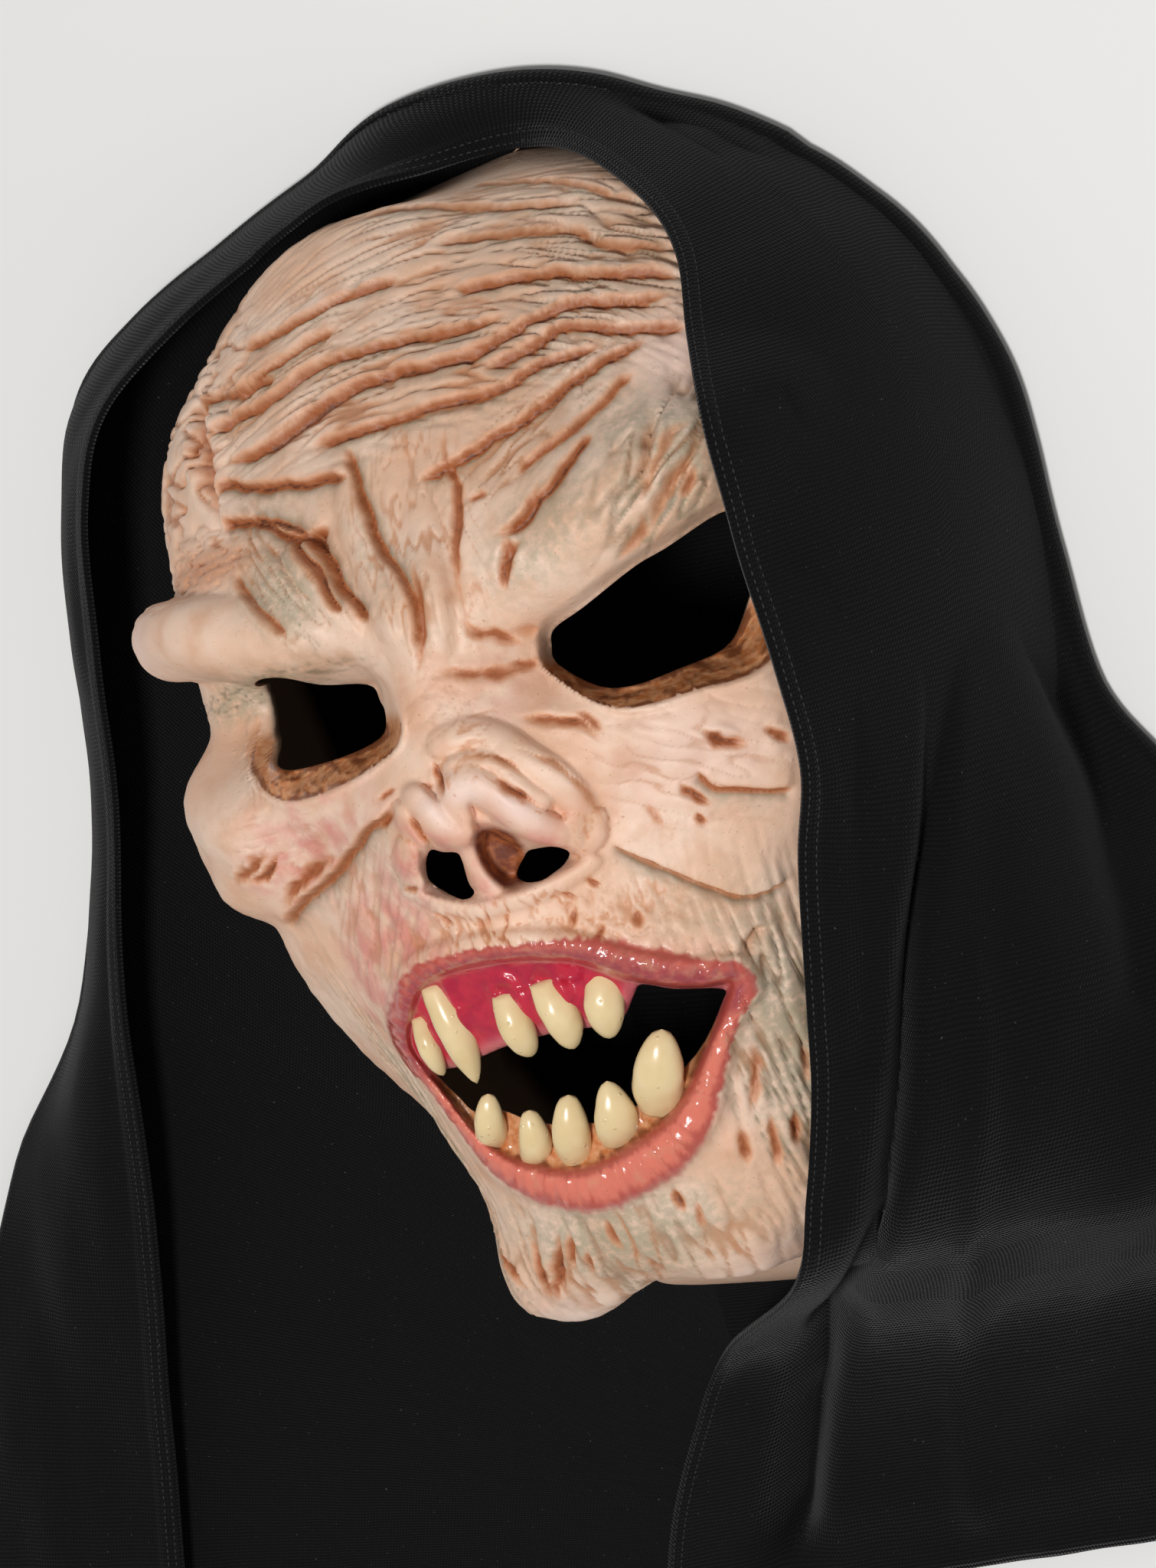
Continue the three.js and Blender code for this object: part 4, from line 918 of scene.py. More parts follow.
maskSkin = makeSkin()
print("mask skin:", len(maskSkin.data.polygons), "faces")


# Teeth, each a swollen cone on a curved line

toothForm = {
    "rings": 22,
    "sides": 22,
    "rooted": 5.4,  # mm of the root inside the gum
    "sunkTip": (1.2, 0.2),  # of the tips of the upper and the lower teeth
    "uppers": 5,
    "bow": (2.2, 0.5),  # outwards, and to alternate sides
    "uneven": 0.05,
}


def toothRing(k, t, width, thick, blunt, out, across):  # points round a tooth off its straight line
    form = toothForm
    opened = np.clip(0.2 + 0.8 * t ** (0.9 + 0.3 * blunt), 0, 1)
    swell = max(np.sin(np.pi * opened) ** (0.85 - 0.4 * blunt), 0.02)
    outBow, sideBow = form["bow"]
    bow = (out * outBow + across * sideBow * (-1) ** k) * np.sin(np.pi * t)
    ring = []
    for j in range(form["sides"]):
        turn = 2 * np.pi * j / form["sides"]
        wobble = noise(np.array(3 * np.cos(turn) + 7.0 * k), np.array(5 * t + np.sin(turn)), 90)
        spread = across * np.cos(turn) * width / 2 + out * np.sin(turn) * thick / 2
        ring.append(bow + spread * swell * (1 + form["uneven"] * wobble))
    return ring


def makeTeeth():
    points, faces = [], []
    rings, sides = toothForm["rings"], toothForm["sides"]
    for k, (root, tip, width, thick, blunt) in enumerate(teeth):
        a, b = fromSight(*np.transpose([root, tip]))
        ends = headPoint(a, b) + headNormal(a, b) * broadForm(a, b)[:, None]
        foot = ends[0] - sight * toothForm["rooted"]
        run = ends[1] - sight * toothForm["sunkTip"][k >= toothForm["uppers"]] - foot
        across = unit(np.cross(run, sight))
        out = unit(np.cross(across, run))
        start = len(points)
        for t in np.linspace(0, 1, rings):
            points += [foot + run * t + off for off in toothRing(k, t, width, thick, blunt, out, across)]
        for i in range(rings - 1):
            for j in range(sides):
                p, q = start + i * sides + j, start + i * sides + (j + 1) % sides
                faces.append([p, p + sides, q + sides, q])
        faces.append([start + j for j in range(sides)])
        faces.append([start + (rings - 1) * sides + j for j in reversed(range(sides))])
    piece = newObject("maskTeeth", inPart(points), faces)
    form = bmesh.new()
    form.from_mesh(piece.data)
    bmesh.ops.recalc_face_normals(form, faces=form.faces)
    form.to_mesh(piece.data)
    form.free()
    return piece


maskTeeth = makeTeeth()
print("teeth made")

# Cast latex, brushed and sponged with thinned paint: satin skin, wet-looking varnish on lips, gums and rims.
# Painted shade in creases and recesses and painted highlights on raised places are mixed into the paint.

paint = {
    "skin": "#E6BC9F",
    "skinWarm": "#D6A07C",
    "skinPale": "#EFCFB8",
    "rustPale": "#CF8A5C",
    "rust": "#A4592B",
    "rustDarkAndShadow": "#54260F",
    "pit": "#6B2E18",
    # grey-green paint, also laid as painted shade
    "moss": "#98947A",
    "blush": "#D9857A",
    # painted highlight on raised places
    "pale": "#F4D8CB",
    # colour of the painted shade in creases and recesses
    "umber": "#665840",
    "coral": "#DE7562",
    "crimson": "#9C3844",
    "lipDark": "#B2443C",
    "gum": "#C42B42",
    "gumDark": "#A31C3C",
    "gumPale": "#DE7A80",
    "rim": "#BF7038",
    "rimPale": "#D79A6C",
    "rimDark": "#7A3F1C",
    "inside": "#D9BFA4",
    "toothLow": "#DCBE88",
    "toothHigh": "#F0DBAE",
    "flecks": 0.6,  # mm
    "pores": 0.9,
    "pimples": 4.5,
    "satin": 0.54,  # roughness of the skin
    "varnish": 0.18,  # of lips, gums and rims
}
millimetre = 1000  # Object coordinates are metres


def paintedLatex():
    material, tree, shader = newMaterial("paintedCastLatex")
    place = addNode(tree, "ShaderNodeTexCoord").outputs["Object"]
    layer, blotch = {}, {}
    for name in (*paintLayers, "inner"):
        layer[name] = addNode(tree, "ShaderNodeAttribute", attribute_name=name).outputs["Fac"]
    for size, detail, roughness in (  # size in mm
        (22, 3, 0.5), (9, 3, 0.5), (6, 3, 0.5), (5, 3, 0.5), (4, 3, 0.5), (3, 3, 0.5), (2.2, 4, 0.6),
        (1.8, 3, 0.5),
        (paint["pores"], 3, 0.6), (paint["flecks"], 1, 0.5),
    ):  # fmt: skip
        shape = {"Vector": place, "Scale": millimetre / size, "Detail": detail, "Roughness": roughness}
        blotch[size] = addNode(tree, "ShaderNodeTexNoise", shape).outputs["Fac"]
    grain = blotch[2.2]

    def fade(cover, lo, hi, most=1.0):  # from nothing where cover is lo to most where it is hi
        ends = {"Value": cover, "From Min": lo, "From Max": hi, "To Max": most}
        return addNode(tree, "ShaderNodeMapRange", ends, interpolation_type="SMOOTHSTEP").outputs["Result"]

    def over(under, coat, cover, *ends):  # a coat of paint over what lies under it
        share = fade(cover, *ends) if ends else cover
        coats = {0: share, 6: under, 7: linear(paint[coat]) if isinstance(coat, str) else coat}
        return addNode(tree, "ShaderNodeMix", coats, data_type="RGBA").outputs[2]

    def patchy(cover, pattern, lo, hi):
        pair = {0: cover, 1: fade(pattern, lo, hi)}
        return addNode(tree, "ShaderNodeMath", pair, operation="MULTIPLY").outputs[0]

    colour = over(linear(paint["skin"]), "skinPale", blotch[22], 0.35, 0.65)
    colour = over(colour, "skinWarm", blotch[9], 0.45, 0.75, 0.55)
    # grey-green paint, partly painted shade in recesses and creases
    colour = over(colour, "moss", patchy(layer["moss"], grain, 0.1, 0.7), 0.0, 0.8, 0.75)
    colour = over(colour, "blush", patchy(layer["blush"], blotch[6], 0.2, 0.7), 0.0, 0.9, 0.8)
    # painted highlights on the raised places
    colour = over(colour, "pale", layer["pale"], 0.0, 1.0, 0.85)
    # painted shade in the recesses under folds and along wrinkle cuts
    colour = over(colour, "umber", layer["umber"], 0.05, 0.8, 0.85)
    streaky = {0: grain, 1: 0.7, 2: 0.65}
    streaky = addNode(tree, "ShaderNodeMath", streaky, operation="MULTIPLY_ADD").outputs[0]
    rust = addNode(tree, "ShaderNodeMath", {0: layer["rust"], 1: streaky}, operation="MULTIPLY").outputs[0]
    colour = over(colour, "rustPale", rust, 0.04, 0.4, 0.6)
    colour = over(colour, "rust", rust, 0.3, 0.8, 0.9)
    # darkest rust in crease and groove lines, partly painted shadow
    colour = over(colour, "rustDarkAndShadow", rust, 0.75, 1.15, 0.9)
    pit = over(linear(paint["pit"]), "rust", blotch[3], 0.4, 0.7)
    colour = over(colour, pit, layer["pit"], 0.1, 0.6, 0.97)
    red = over(linear(paint["coral"]), "crimson", patchy(layer["crimson"], grain, 0.0, 0.6))
    red = over(red, "skinWarm", blotch[4], 0.5, 0.8, 0.45)
    red = over(red, "lipDark", layer["lipEdge"], 0.1, 0.9, 0.85)
    colour = over(colour, red, layer["lip"], 0.2, 0.9, 0.95)
    rim = over(linear(paint["rimPale"]), "rim", blotch[1.8], 0.35, 0.7)
    rim = over(rim, "rimDark", layer["streak"], 0.45, 0.95, 0.95)
    colour = over(colour, rim, layer["band"], 0.3, 0.9, 0.95)
    gum = over(linear(paint["gum"]), "gumDark", blotch[5], 0.4, 0.65, 0.7)
    gum = over(gum, "gumPale", layer["gumEdge"], 0.2, 1.0, 0.8)
    colour = over(colour, gum, layer["gum"])
    colour = over(colour, "rust", blotch[paint["flecks"]], 0.72, 0.78, 0.5)
    colour = over(colour, "inside", layer["inner"])
    tree.links.new(colour, shader.inputs["Base Color"])

    wet = addNode(tree, "ShaderNodeMath", {0: layer["lip"], 1: layer["gum"]}, operation="MAXIMUM").outputs[0]
    wet = addNode(tree, "ShaderNodeMath", {0: wet, 1: layer["band"]}, operation="MAXIMUM").outputs[0]
    finish = {"Value": wet, "To Min": paint["satin"], "To Max": paint["varnish"]}
    finish = addNode(tree, "ShaderNodeMapRange", finish).outputs["Result"]
    uneven = {0: grain, 1: 0.16, 2: -0.08}
    uneven = addNode(tree, "ShaderNodeMath", uneven, operation="MULTIPLY_ADD").outputs[0]
    roughness = addNode(tree, "ShaderNodeMath", {0: finish, 1: uneven}, operation="ADD").outputs[0]
    tree.links.new(roughness, shader.inputs["Roughness"])
    shader.inputs["IOR"].default_value = 1.52
    shader.inputs["Subsurface Weight"].default_value = 0.12
    shader.inputs["Subsurface Radius"].default_value = (1.0, 0.45, 0.3)
    shader.inputs["Subsurface Scale"].default_value = 0.0015

    cells = {"Vector": place, "Scale": millimetre / paint["pimples"]}
    pimple = addNode(tree, "ShaderNodeTexVoronoi", cells).outputs["Distance"]
    pimple = fade(pimple, 0.16, 0.02, 0.25)
    height = {0: blotch[paint["pores"]], 1: 0.12, 2: pimple}
    height = addNode(tree, "ShaderNodeMath", height, operation="MULTIPLY_ADD").outputs[0]
    height = {0: grain, 1: 0.25, 2: height}
    height = addNode(tree, "ShaderNodeMath", height, operation="MULTIPLY_ADD").outputs[0]
    raised = addNode(tree, "ShaderNodeBump", {"Height": height, "Distance": 0.0008, "Strength": 0.55})
    tree.links.new(raised.outputs["Normal"], shader.inputs["Normal"])
    return material


def paintedTeeth():  # thick cream enamel brushed over latex: glossy, with small pimples
    material, tree, shader = newMaterial("creamEnamelOnLatex")
    place = addNode(tree, "ShaderNodeTexCoord").outputs["Object"]
    shape = {"Vector": place, "Scale": millimetre / 5, "Detail": 3.0}
    blotch = addNode(tree, "ShaderNodeTexNoise", shape).outputs["Fac"]
    tone = {0: blotch, 6: linear(paint["toothLow"]), 7: linear(paint["toothHigh"])}
    colour = addNode(tree, "ShaderNodeMix", tone, data_type="RGBA").outputs[2]
    tree.links.new(colour, shader.inputs["Base Color"])
    cells = {"Vector": place, "Scale": millimetre / 3}
    pimple = addNode(tree, "ShaderNodeTexVoronoi", cells).outputs["Distance"]
    pimple = addNode(tree, "ShaderNodeMapRange", {"Value": pimple, "From Min": 0.15, "From Max": 0.03})
    height = pimple.outputs["Result"]
    raised = addNode(tree, "ShaderNodeBump", {"Height": height, "Distance": 0.0004, "Strength": 0.5})
    tree.links.new(raised.outputs["Normal"], shader.inputs["Normal"])
    shader.inputs["Roughness"].default_value = 0.24
    shader.inputs["IOR"].default_value = 1.5
    return material


maskSkin.data.materials.append(paintedLatex())
maskTeeth.data.materials.append(paintedTeeth())
print("latex painted")

# Hood: one tube of knitted cloth, collapsed round the mask. Rows run from the face hem over the mask's side
# to the fold on the floor and on to the middle of the back. A hem of two numbers lies on the mask there.

hoodForm = {
    "rows": [
        ((-65, -208, 13), (176, -206)), ((-54, -186, 17), (168, -184)), ((-38, -163, 22), (158, -162)),
        ((-20, -144, 31), (149, -142)), ((19, -103.5), (141, -124)), ((31, -90), (133, -106)),
        ((41, -76), (124, -90)), ((48, -62), (117, -72)), ((59.2, -34), (107, -46)), ((66, -14), (98, -22)),
        ((66.5, 8), (97, 6)), ((64.5, 32), (97, 31)), ((61, 54), (94.3, 52)), ((60, 76), (86, 74.5)),
        ((58, 96), (74, 92)), ((49.5, 113), (56.5, 107.5)), ((29, 135), (33, 121)), ((6, 147), (5, 129.5)),
        ((-16, 142), (-25, 130)), ((-32, 127), (-50, 122)), ((-52, 110, 33), (-75, 114)),
        ((-72, 101, 39), (-101, 104)), ((-95, 87, 41), (-122, 89)), ((-108, 68, 39), (-132, 68)),
        ((-119, 38, 34), (-142, 36)), ((-130, 2, 29), (-151, -1)), ((-148, -42, 23), (-171, -45)),
        ((-162, -92, 17), (-206, -85)), ((-180, -146, 11), (-234, -138)), ((-198, -208, 8), (-254, -204)),
    ],
    "thick": 1.6,
    "hem": 4.6,  # breadth of the turned hem
    "hemRise": 0.6,
    "easing": 240,  # rounds of smoothing along the hem, below the jaw
    "seat": 3.4,  # of the cloth's middle off the mask where it lies on it
    "backLevel": 1.0,
    "foldLift": 5.2,
    "spine": (-35, 112),  # across, and top of the line where the back's two halves meet
    "alongSteps": 9,  # mesh steps from each row to the next
    "bandSteps": 104,
}  # fmt: skip


def reliefAt(points):  # how far the mask stands out of its head form near some points
    r = np.linalg.norm(points, axis=-1)
    rho = np.arccos(np.clip(points[..., 2] / r, 0, 1)) * 100
    phi = np.arctan2(points[..., 1], points[..., 0])
    a, b = rho * np.cos(phi), rho * np.sin(phi)
    out = np.linalg.norm(headPoint(a, b), axis=-1)
    around = ((0, 0), (5, 0), (-5, 0), (0, 5), (0, -5))
    h = np.maximum.reduce([broadForm(a + da, b + db) for da, db in around])
    return r, out + h + 1.5 * bump(a, b, 55, 48, 25, 20, 2)


def hoodSheet():
    form = hoodForm
    ends = []
    for hem, fold in form["rows"]:
        if len(hem) == 2:
            p = headPoint(*np.array(hem, float)[:, None])[0]
            r, least = reliefAt(p[None])
            hem = p * (least[0] + form["seat"]) / r[0]
        ends.append([*hem, *fold])
    rows = spline(ends, form["alongSteps"])
    t = np.linspace(0, 1, form["bandSteps"])
    hem, fold = rows[:, None, :3], rows[:, None, 3:]
    bow = np.sin(np.pi * t)[None, :, None] * 0.12
    share = t[None, :, None]
    flat = hem[..., :2] + (fold - hem[..., :2]) * (share + bow / 2)
    level = hem[..., 2:] + (form["backLevel"] + form["foldLift"] - hem[..., 2:]) * share + hem[..., 2:] * bow
    band = np.concatenate([flat, level], -1)
    return rows, t, band


hoodRows, bandShare, hoodBand = hoodSheet()
print("hood rows:", hoodBand.shape)


def sheetNormals(grid):
    return unit(np.cross(np.gradient(grid, axis=1), np.gradient(grid, axis=0)))


# Long folds of the cloth: share of the way round the hem and share from hem to fold, breadth and depth in mm
clothFolds = [
    (
        [(0.565, 0.92), (0.5, 0.745), (0.46, 0.72), (0.425, 0.72), (0.387, 0.72), (0.36, 0.69),
        (0.341, 0.64),
         (0.33, 0.56), (0.287, 0.39), (0.241, 0.235), (0.176, 0.145), (0.126, 0.12), (0.06, 0.12),
         (0.005, 0.11)],
        [2.2, 2.4, 2.6, 3.4, 5.4], [-3, -5, -7, -10, -13],
    ),
    (
        [(0.51, 0.97), (0.433, 0.84), (0.398, 0.88), (0.36, 0.92), (0.322, 0.92), (0.291, 0.9),
        (0.253, 0.79),
         (0.2, 0.65)],
        [5, 7, 7, 6], [-3, -6, -7, -4],
    ),
    ([(0.25, 0.39), (0.134, 0.28), (0.01, 0.29)], [3, 3], [1.2, 1.6]),
    ([(0.34, 0.19), (0.268, 0.16), (0.21, 0.1)], [4, 4], [-1.2, -1.2]),
    ([(0.42, 0.29), (0.39, 0.27)], [4, 4], [-1.6, -1.6]),
]  # fmt: skip


def dressHood():
    normal = sheetNormals(hoodBand)
    u = np.linspace(0, 1, hoodBand.shape[0])[:, None] * np.ones_like(bandShare)[None]
    v = np.ones_like(u) * bandShare[None]
    girth = runLengths(hoodBand)[:, -1:]  # of each row
    hemRun = runLengths(hoodBand[None, :, 20])[0]
    x, y = hemRun[:, None] * np.ones_like(v), v * girth
    lift = np.zeros_like(u)
    for line, wide, high in clothFolds:
        line = spline(line, 6)
        px = np.interp(line[:, 0], u[:, 0], hemRun)
        py = line[:, 1] * np.interp(line[:, 0], u[:, 0], girth[:, 0])
        d, s = nearLine(x, y, np.stack([px, py], -1))
        section = np.exp(-np.abs(d / along(wide, s)) ** 1.8)
        lift += along(high, s) * section * step(s, 0, 0.06) * (1 - step(s, 0.96, 1))
    r, least = reliefAt(hoodBand)
    free = 0.25 + 0.75 * step(r - least, 3, 14)  # the cloth hangs free
    lift += free * (1.2 * noise(x / 60, y / 22, 101) * step(v, 0.05, 0.3) + 0.4 * noise(x / 25, y / 12, 102))
    lift += hoodForm["hemRise"] * np.exp(-((y / hoodForm["hem"]) ** 8))
    smooth = hoodBand.copy()
    loose = 0.5 * (step(v, 0.02, 0.4) * (1 - step(v, 0.8, 1)) * (1 - step(u, 0.22, 0.36)))[1:-1, :, None]
    for _ in range(hoodForm["easing"]):
        smooth[1:-1] += loose * (smooth[:-2] + smooth[2:] - 2 * smooth[1:-1]) / 2
    band = smooth + normal * lift[..., None]
    r, least = reliefAt(band)
    need = least + hoodForm["seat"] - 0.4
    band *= np.maximum(1, need / r)[..., None]
    band[..., 2] = np.maximum(band[..., 2], hoodForm["backLevel"] + 2.2)
    return np.concatenate([band, *hoodBack(band[:, -1])], 1), x


def hoodBack(foot):  # nose of the fold, then the back, to the spine
    rows = hoodRows
    out = unit(rows[:, 3:] - rows[:, :2])
    nose, lift = [], foot[:, 2] - hoodForm["backLevel"]
    for turn in np.radians([30, 60, 90, 120, 150, 180]):
        p = foot.copy()
        p[:, :2] += out * (np.sin(turn) * lift / 2)[:, None] * 0.8
        p[:, 2] = hoodForm["backLevel"] + lift * (1 + np.cos(turn)) / 2
        nose.append(p)
    half = np.abs(np.linspace(-1, 1, len(rows)))
    bottom = rows[[0, -1], 4].mean()
    spineY = hoodForm["spine"][1] + (bottom - hoodForm["spine"][1]) * half
    spine = np.stack([0 * half + hoodForm["spine"][0], spineY, 0 * half + hoodForm["backLevel"]], -1)
    back = [nose[-1] * (1 - t) + spine * t for t in np.linspace(0, 1, 20)[1:]]
    return [np.stack(nose + back, 1)]


hoodGrid, alongHem = dressHood()


def hoodInPart(points):  # the hood's heights are those above the floor
    return inPart(points) - [0, 0, maskAt[2] / 1000]


def makeHood():
    n, m = hoodGrid.shape[:2]
    hood = newObject("hoodCloth", hoodInPart(hoodGrid.reshape(-1, 3)), gridCells(n, m).tolist())
    flat = np.stack([np.broadcast_to(alongHem[:, :1], (n, m)), runLengths(hoodGrid)], -1)
    flat = flat.reshape(-1, 2) / 1000
    uv = hood.data.uv_layers.new(name="cloth")
    loops = np.zeros(len(hood.data.loops), np.int32)
    hood.data.loops.foreach_get("vertex_index", loops)
    uv.data.foreach_set("uv", flat[loops].ravel().astype(np.float32))
    form = bmesh.new()
    form.from_mesh(hood.data)
    bmesh.ops.remove_doubles(form, verts=form.verts, dist=0.00005)
    form.to_mesh(hood.data)
    form.free()
    hood.data.shade_smooth()
    shell = hood.modifiers.new("thickness", "SOLIDIFY")
    shell.thickness = hoodForm["thick"] / 1000
    shell.offset = 0
    return hood


hoodCloth = makeHood()
print("hood cloth:", len(hoodCloth.data.polygons), "faces")

knit = {
    "yarn": "#0A0A0B",
    # painted highlight on the tops of the ribs
    "yarnPaintedHighlight": "#19191B",
    "fibreGlint": "#4C4C50",  # painted glints of stray fibre ends that catch the light
    "course": 1.0,  # mm from row to row
    "wale": 0.8,  # mm from stitch to stitch
    "sag": 14,  # mm across a place where the courses sag
    "fuzz": 0.7,
    "fleck": 0.8,
}


def knittedCloth():  # black single jersey of spun yarn: matt, ribbed by its courses, with painted highlights on the rib tops and painted glints of fibre ends
    material, tree, shader = newMaterial("blackKnittedJersey")
    flat = addNode(tree, "ShaderNodeUVMap", uv_map="cloth").outputs["UV"]
    place = addNode(tree, "ShaderNodeTexCoord").outputs["Object"]
    axis = addNode(tree, "ShaderNodeSeparateXYZ", {"Vector": flat}).outputs
    blotch = {}
    for size, detail in ((knit["sag"], 2.0), (knit["fuzz"], 3.0), (knit["fleck"], 1.0)):
        shape = {"Vector": place, "Scale": millimetre / size, "Detail": detail}
        blotch[size] = addNode(tree, "ShaderNodeTexNoise", shape).outputs["Fac"]
    fuzz = blotch[knit["fuzz"]]
    oneTurn = 2 * np.pi * millimetre
    sag = addNode(tree, "ShaderNodeMath", {0: blotch[knit["sag"]], 1: 9.0}, operation="MULTIPLY").outputs[0]
    course = {0: axis["X"], 1: oneTurn / knit["course"], 2: sag}
    course = addNode(tree, "ShaderNodeMath", course, operation="MULTIPLY_ADD").outputs[0]
    wale = {0: axis["Y"], 1: oneTurn / knit["wale"]}
    wale = addNode(tree, "ShaderNodeMath", wale, operation="MULTIPLY").outputs[0]
    wale = addNode(tree, "ShaderNodeMath", {0: wale}, operation="SINE").outputs[0]
    ribs = addNode(tree, "ShaderNodeMath", {0: wale, 1: 0.9, 2: course}, operation="MULTIPLY_ADD").outputs[0]
    ribs = addNode(tree, "ShaderNodeMath", {0: ribs}, operation="SINE").outputs[0]
    stitched = addNode(tree, "ShaderNodeMath", {0: ribs, 1: 0.5, 2: 0.5}, operation="MULTIPLY_ADD").outputs[0]
    # painted highlight: rib tops take the lit yarn colour
    tone = addNode(tree, "ShaderNodeMath", {0: stitched, 1: fuzz}, operation="MULTIPLY").outputs[0]
    yarnAndHighlight = {0: tone, 6: linear(knit["yarn"]), 7: linear(knit["yarnPaintedHighlight"])}
    colour = addNode(tree, "ShaderNodeMix", yarnAndHighlight, data_type="RGBA").outputs[2]
    # painted glints on stray fibre ends
    ends = {"Value": blotch[knit["fleck"]], "From Min": 0.76, "From Max": 0.84}
    share = addNode(tree, "ShaderNodeMapRange", ends).outputs["Result"]
    fibreGlints = {0: share, 6: colour, 7: linear(knit["fibreGlint"])}
    colour = addNode(tree, "ShaderNodeMix", fibreGlints, data_type="RGBA").outputs[2]
    tree.links.new(colour, shader.inputs["Base Color"])
    height = {0: fuzz, 1: 0.5, 2: stitched}
    height = addNode(tree, "ShaderNodeMath", height, operation="MULTIPLY_ADD").outputs[0]
    raised = addNode(tree, "ShaderNodeBump", {"Height": height, "Distance": 0.0003, "Strength": 0.7})
    tree.links.new(raised.outputs["Normal"], shader.inputs["Normal"])
    shader.inputs["Roughness"].default_value = 0.9
    shader.inputs["Specular IOR Level"].default_value = 0.1
    shader.inputs["Sheen Weight"].default_value = 0.1
    shader.inputs["Sheen Roughness"].default_value = 0.4
    return material


hoodCloth.data.materials.append(knittedCloth())
print("hood knitted")

# Hem stitches: short rounds of thread laid along two lines beside the hem's edge

stitches = {
    "rows": [1.3, 3.4],  # mm from the edge
    "pitch": 1.7,
    "length": 1.15,
    "thread": 0.42,
    "sink": 0.05,  # of the thread's middle into the cloth
    "colour": "#1A1A1C",
}


def threadMaterial():  # black spun polyester sewing thread, a little glossier than the yarn
    material, _, shader = newMaterial("blackSewingThread")
    shader.inputs["Base Color"].default_value = linear(stitches["colour"])
    shader.inputs["Roughness"].default_value = 0.6
    return material


def stitchTree(thread):
    tree = bpy.data.node_groups.new("hemStitches", "GeometryNodeTree")
    tree.interface.new_socket("Geometry", in_out="INPUT", socket_type="NodeSocketGeometry")
    tree.interface.new_socket("Geometry", in_out="OUTPUT", socket_type="NodeSocketGeometry")
    for name in ("Pitch", "Length", "Thread"):
        tree.interface.new_socket(name, in_out="INPUT", socket_type="NodeSocketFloat")
    given = addNode(tree, "NodeGroupInput").outputs
    curve = addNode(tree, "GeometryNodeMeshToCurve", {"Mesh": given["Geometry"]}).outputs["Curve"]
    even = {"Curve": curve, "Length": given["Pitch"]}
    even = addNode(tree, "GeometryNodeResampleCurve", even, mode="LENGTH").outputs["Curve"]
    tangent = addNode(tree, "GeometryNodeInputTangent").outputs["Tangent"]
    turn = addNode(tree, "FunctionNodeAlignRotationToVector", {"Vector": tangent}, axis="Z")
    turn = turn.outputs["Rotation"]
    ball = {"Segments": 6, "Rings": 5, "Radius": 0.5}
    ball = addNode(tree, "GeometryNodeMeshUVSphere", ball).outputs["Mesh"]
    size = {"X": given["Thread"], "Y": given["Thread"], "Z": given["Length"]}
    size = addNode(tree, "ShaderNodeCombineXYZ", size).outputs[0]
    uneven = {0: (0.9, 0.9, 0.85), 1: (1.1, 1.1, 1.12), "Seed": 5}
    uneven = addNode(tree, "FunctionNodeRandomValue", uneven, data_type="FLOAT_VECTOR").outputs[0]
    size = addNode(tree, "ShaderNodeVectorMath", {0: size, 1: uneven}, operation="MULTIPLY").outputs[0]
    laid = {"Points": even, "Instance": ball, "Rotation": turn, "Scale": size}
    laid = addNode(tree, "GeometryNodeInstanceOnPoints", laid).outputs["Instances"]
    real = addNode(tree, "GeometryNodeRealizeInstances", {"Geometry": laid}).outputs["Geometry"]
    coloured = addNode(tree, "GeometryNodeSetMaterial", {"Geometry": real}).outputs["Geometry"]
    coloured.node.inputs["Material"].default_value = thread
    addNode(tree, "NodeGroupOutput", {"Geometry": coloured})
    return tree


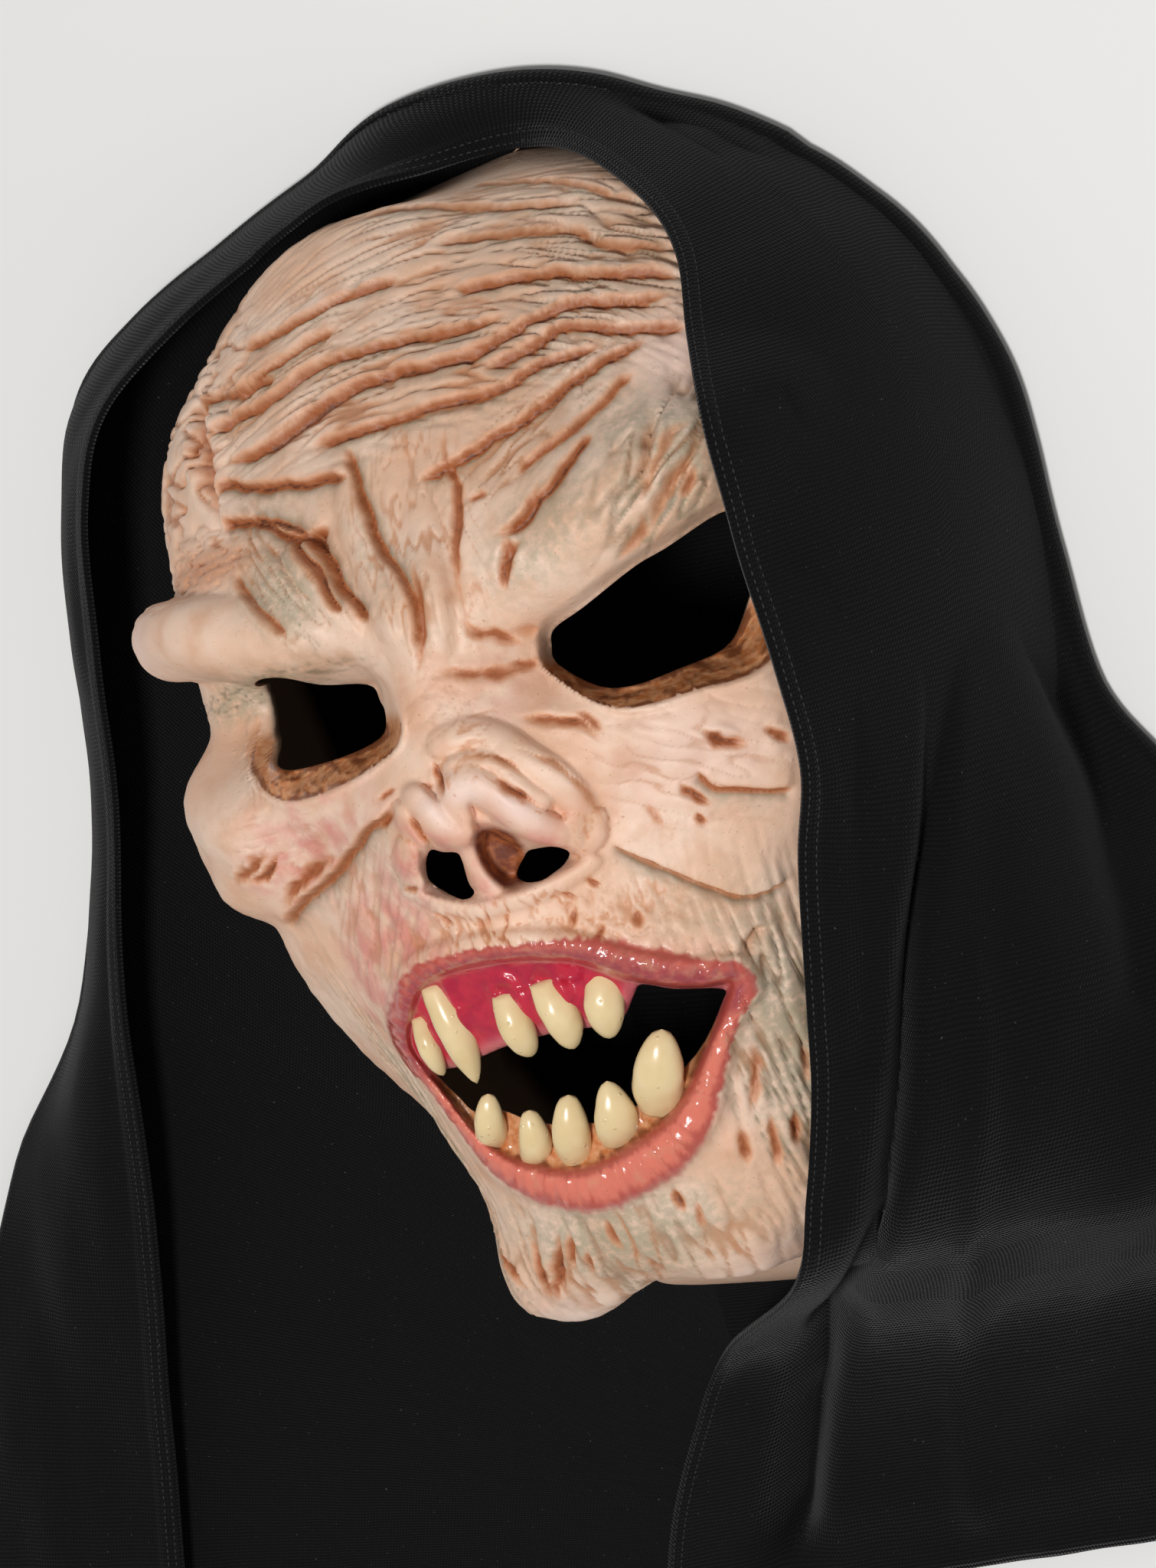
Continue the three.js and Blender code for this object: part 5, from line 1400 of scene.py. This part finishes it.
def makeStitches():
    near = hoodGrid[:, :40]  # the cloth beside the hem
    reach, normal = runLengths(near), sheetNormals(near)
    points, sides = [], []
    for row in stitches["rows"]:
        start = len(points)
        for i in range(2, len(near) - 2):
            place = [np.interp(row, reach[i], near[i, :, k]) for k in range(3)]
            out = [np.interp(row, reach[i], normal[i, :, k]) for k in range(3)]
            points.append(np.array(place) + np.array(out) * (hoodForm["thick"] / 2 - stitches["sink"]))
        sides += [(k, k + 1) for k in range(start, len(points) - 1)]
    piece = newObject("hemStitches", hoodInPart(points), [], smooth=False)
    piece.data.edges.add(len(sides))
    piece.data.edges.foreach_set("vertices", np.array(sides, np.int32).ravel())
    tree = stitchTree(threadMaterial())
    modifier = piece.modifiers.new("stitches", "NODES")
    modifier.node_group = tree
    for item in tree.interface.items_tree:
        if item.in_out == "INPUT" and item.name != "Geometry":
            modifier[item.identifier] = stitches[item.name.lower()] / 1000
    applyModifiers(piece)
    return piece


hemStitches = makeStitches()
print("hem stitched:", len(hemStitches.data.polygons), "faces")

# Floor and light

room = {
    "floor": "#F4F3F1",
    "half": 4,  # m
    "keyLight": ((-0.38, -0.3, 1.15), 0.22, 10.5),  # right, up and back off the mask, size, power in W
    "fillLight": ((1.1, -0.3, 0.7), 0.9, 1.2),
    "sky": 0.3,
}


def makeRoom():
    corners = [(x * room["half"], y * room["half"], 0) for x, y in ((-1, -1), (1, -1), (1, 1), (-1, 1))]
    floor = newObject("floor", corners, [[0, 1, 2, 3]], smooth=False)
    material, _, shader = newMaterial("paleFloor")
    shader.inputs["Base Color"].default_value = linear(room["floor"])
    shader.inputs["Roughness"].default_value = 0.8
    floor.data.materials.append(material)
    middle = inPart((0, 0, 60))
    for name in ("keyLight", "fillLight"):
        place, size, power = room[name]
        place = place @ np.array(cameraAxes())
        light = bpy.data.lights.new(name, "AREA")
        light.size = size
        light.energy = power
        lamp = bpy.data.objects.new(name, light)
        bpy.context.collection.objects.link(lamp)
        lamp.location = middle + place
        lamp.rotation_euler = Vector(-place).to_track_quat("-Z", "Y").to_euler()
    world = bpy.data.worlds.new("sky")
    bpy.context.scene.world = world
    world.use_nodes = True
    world.node_tree.nodes["Background"].inputs[0].default_value = (1, 1, 1, 1)
    world.node_tree.nodes["Background"].inputs[1].default_value = room["sky"]
    bpy.context.scene.view_settings.view_transform = "Standard"


makeRoom()
print("room lit")

# Pieces and the solids that they stand for

for piece, node, slot in (
    (maskSkin, "latex_mask", "latex"),
    (maskTeeth, None, "latex"),
    (hoodCloth, "hood", "knit"),
    (hemStitches, None, "knit"),
):
    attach(piece, "root")
    if node:
        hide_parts(node)

print("done")
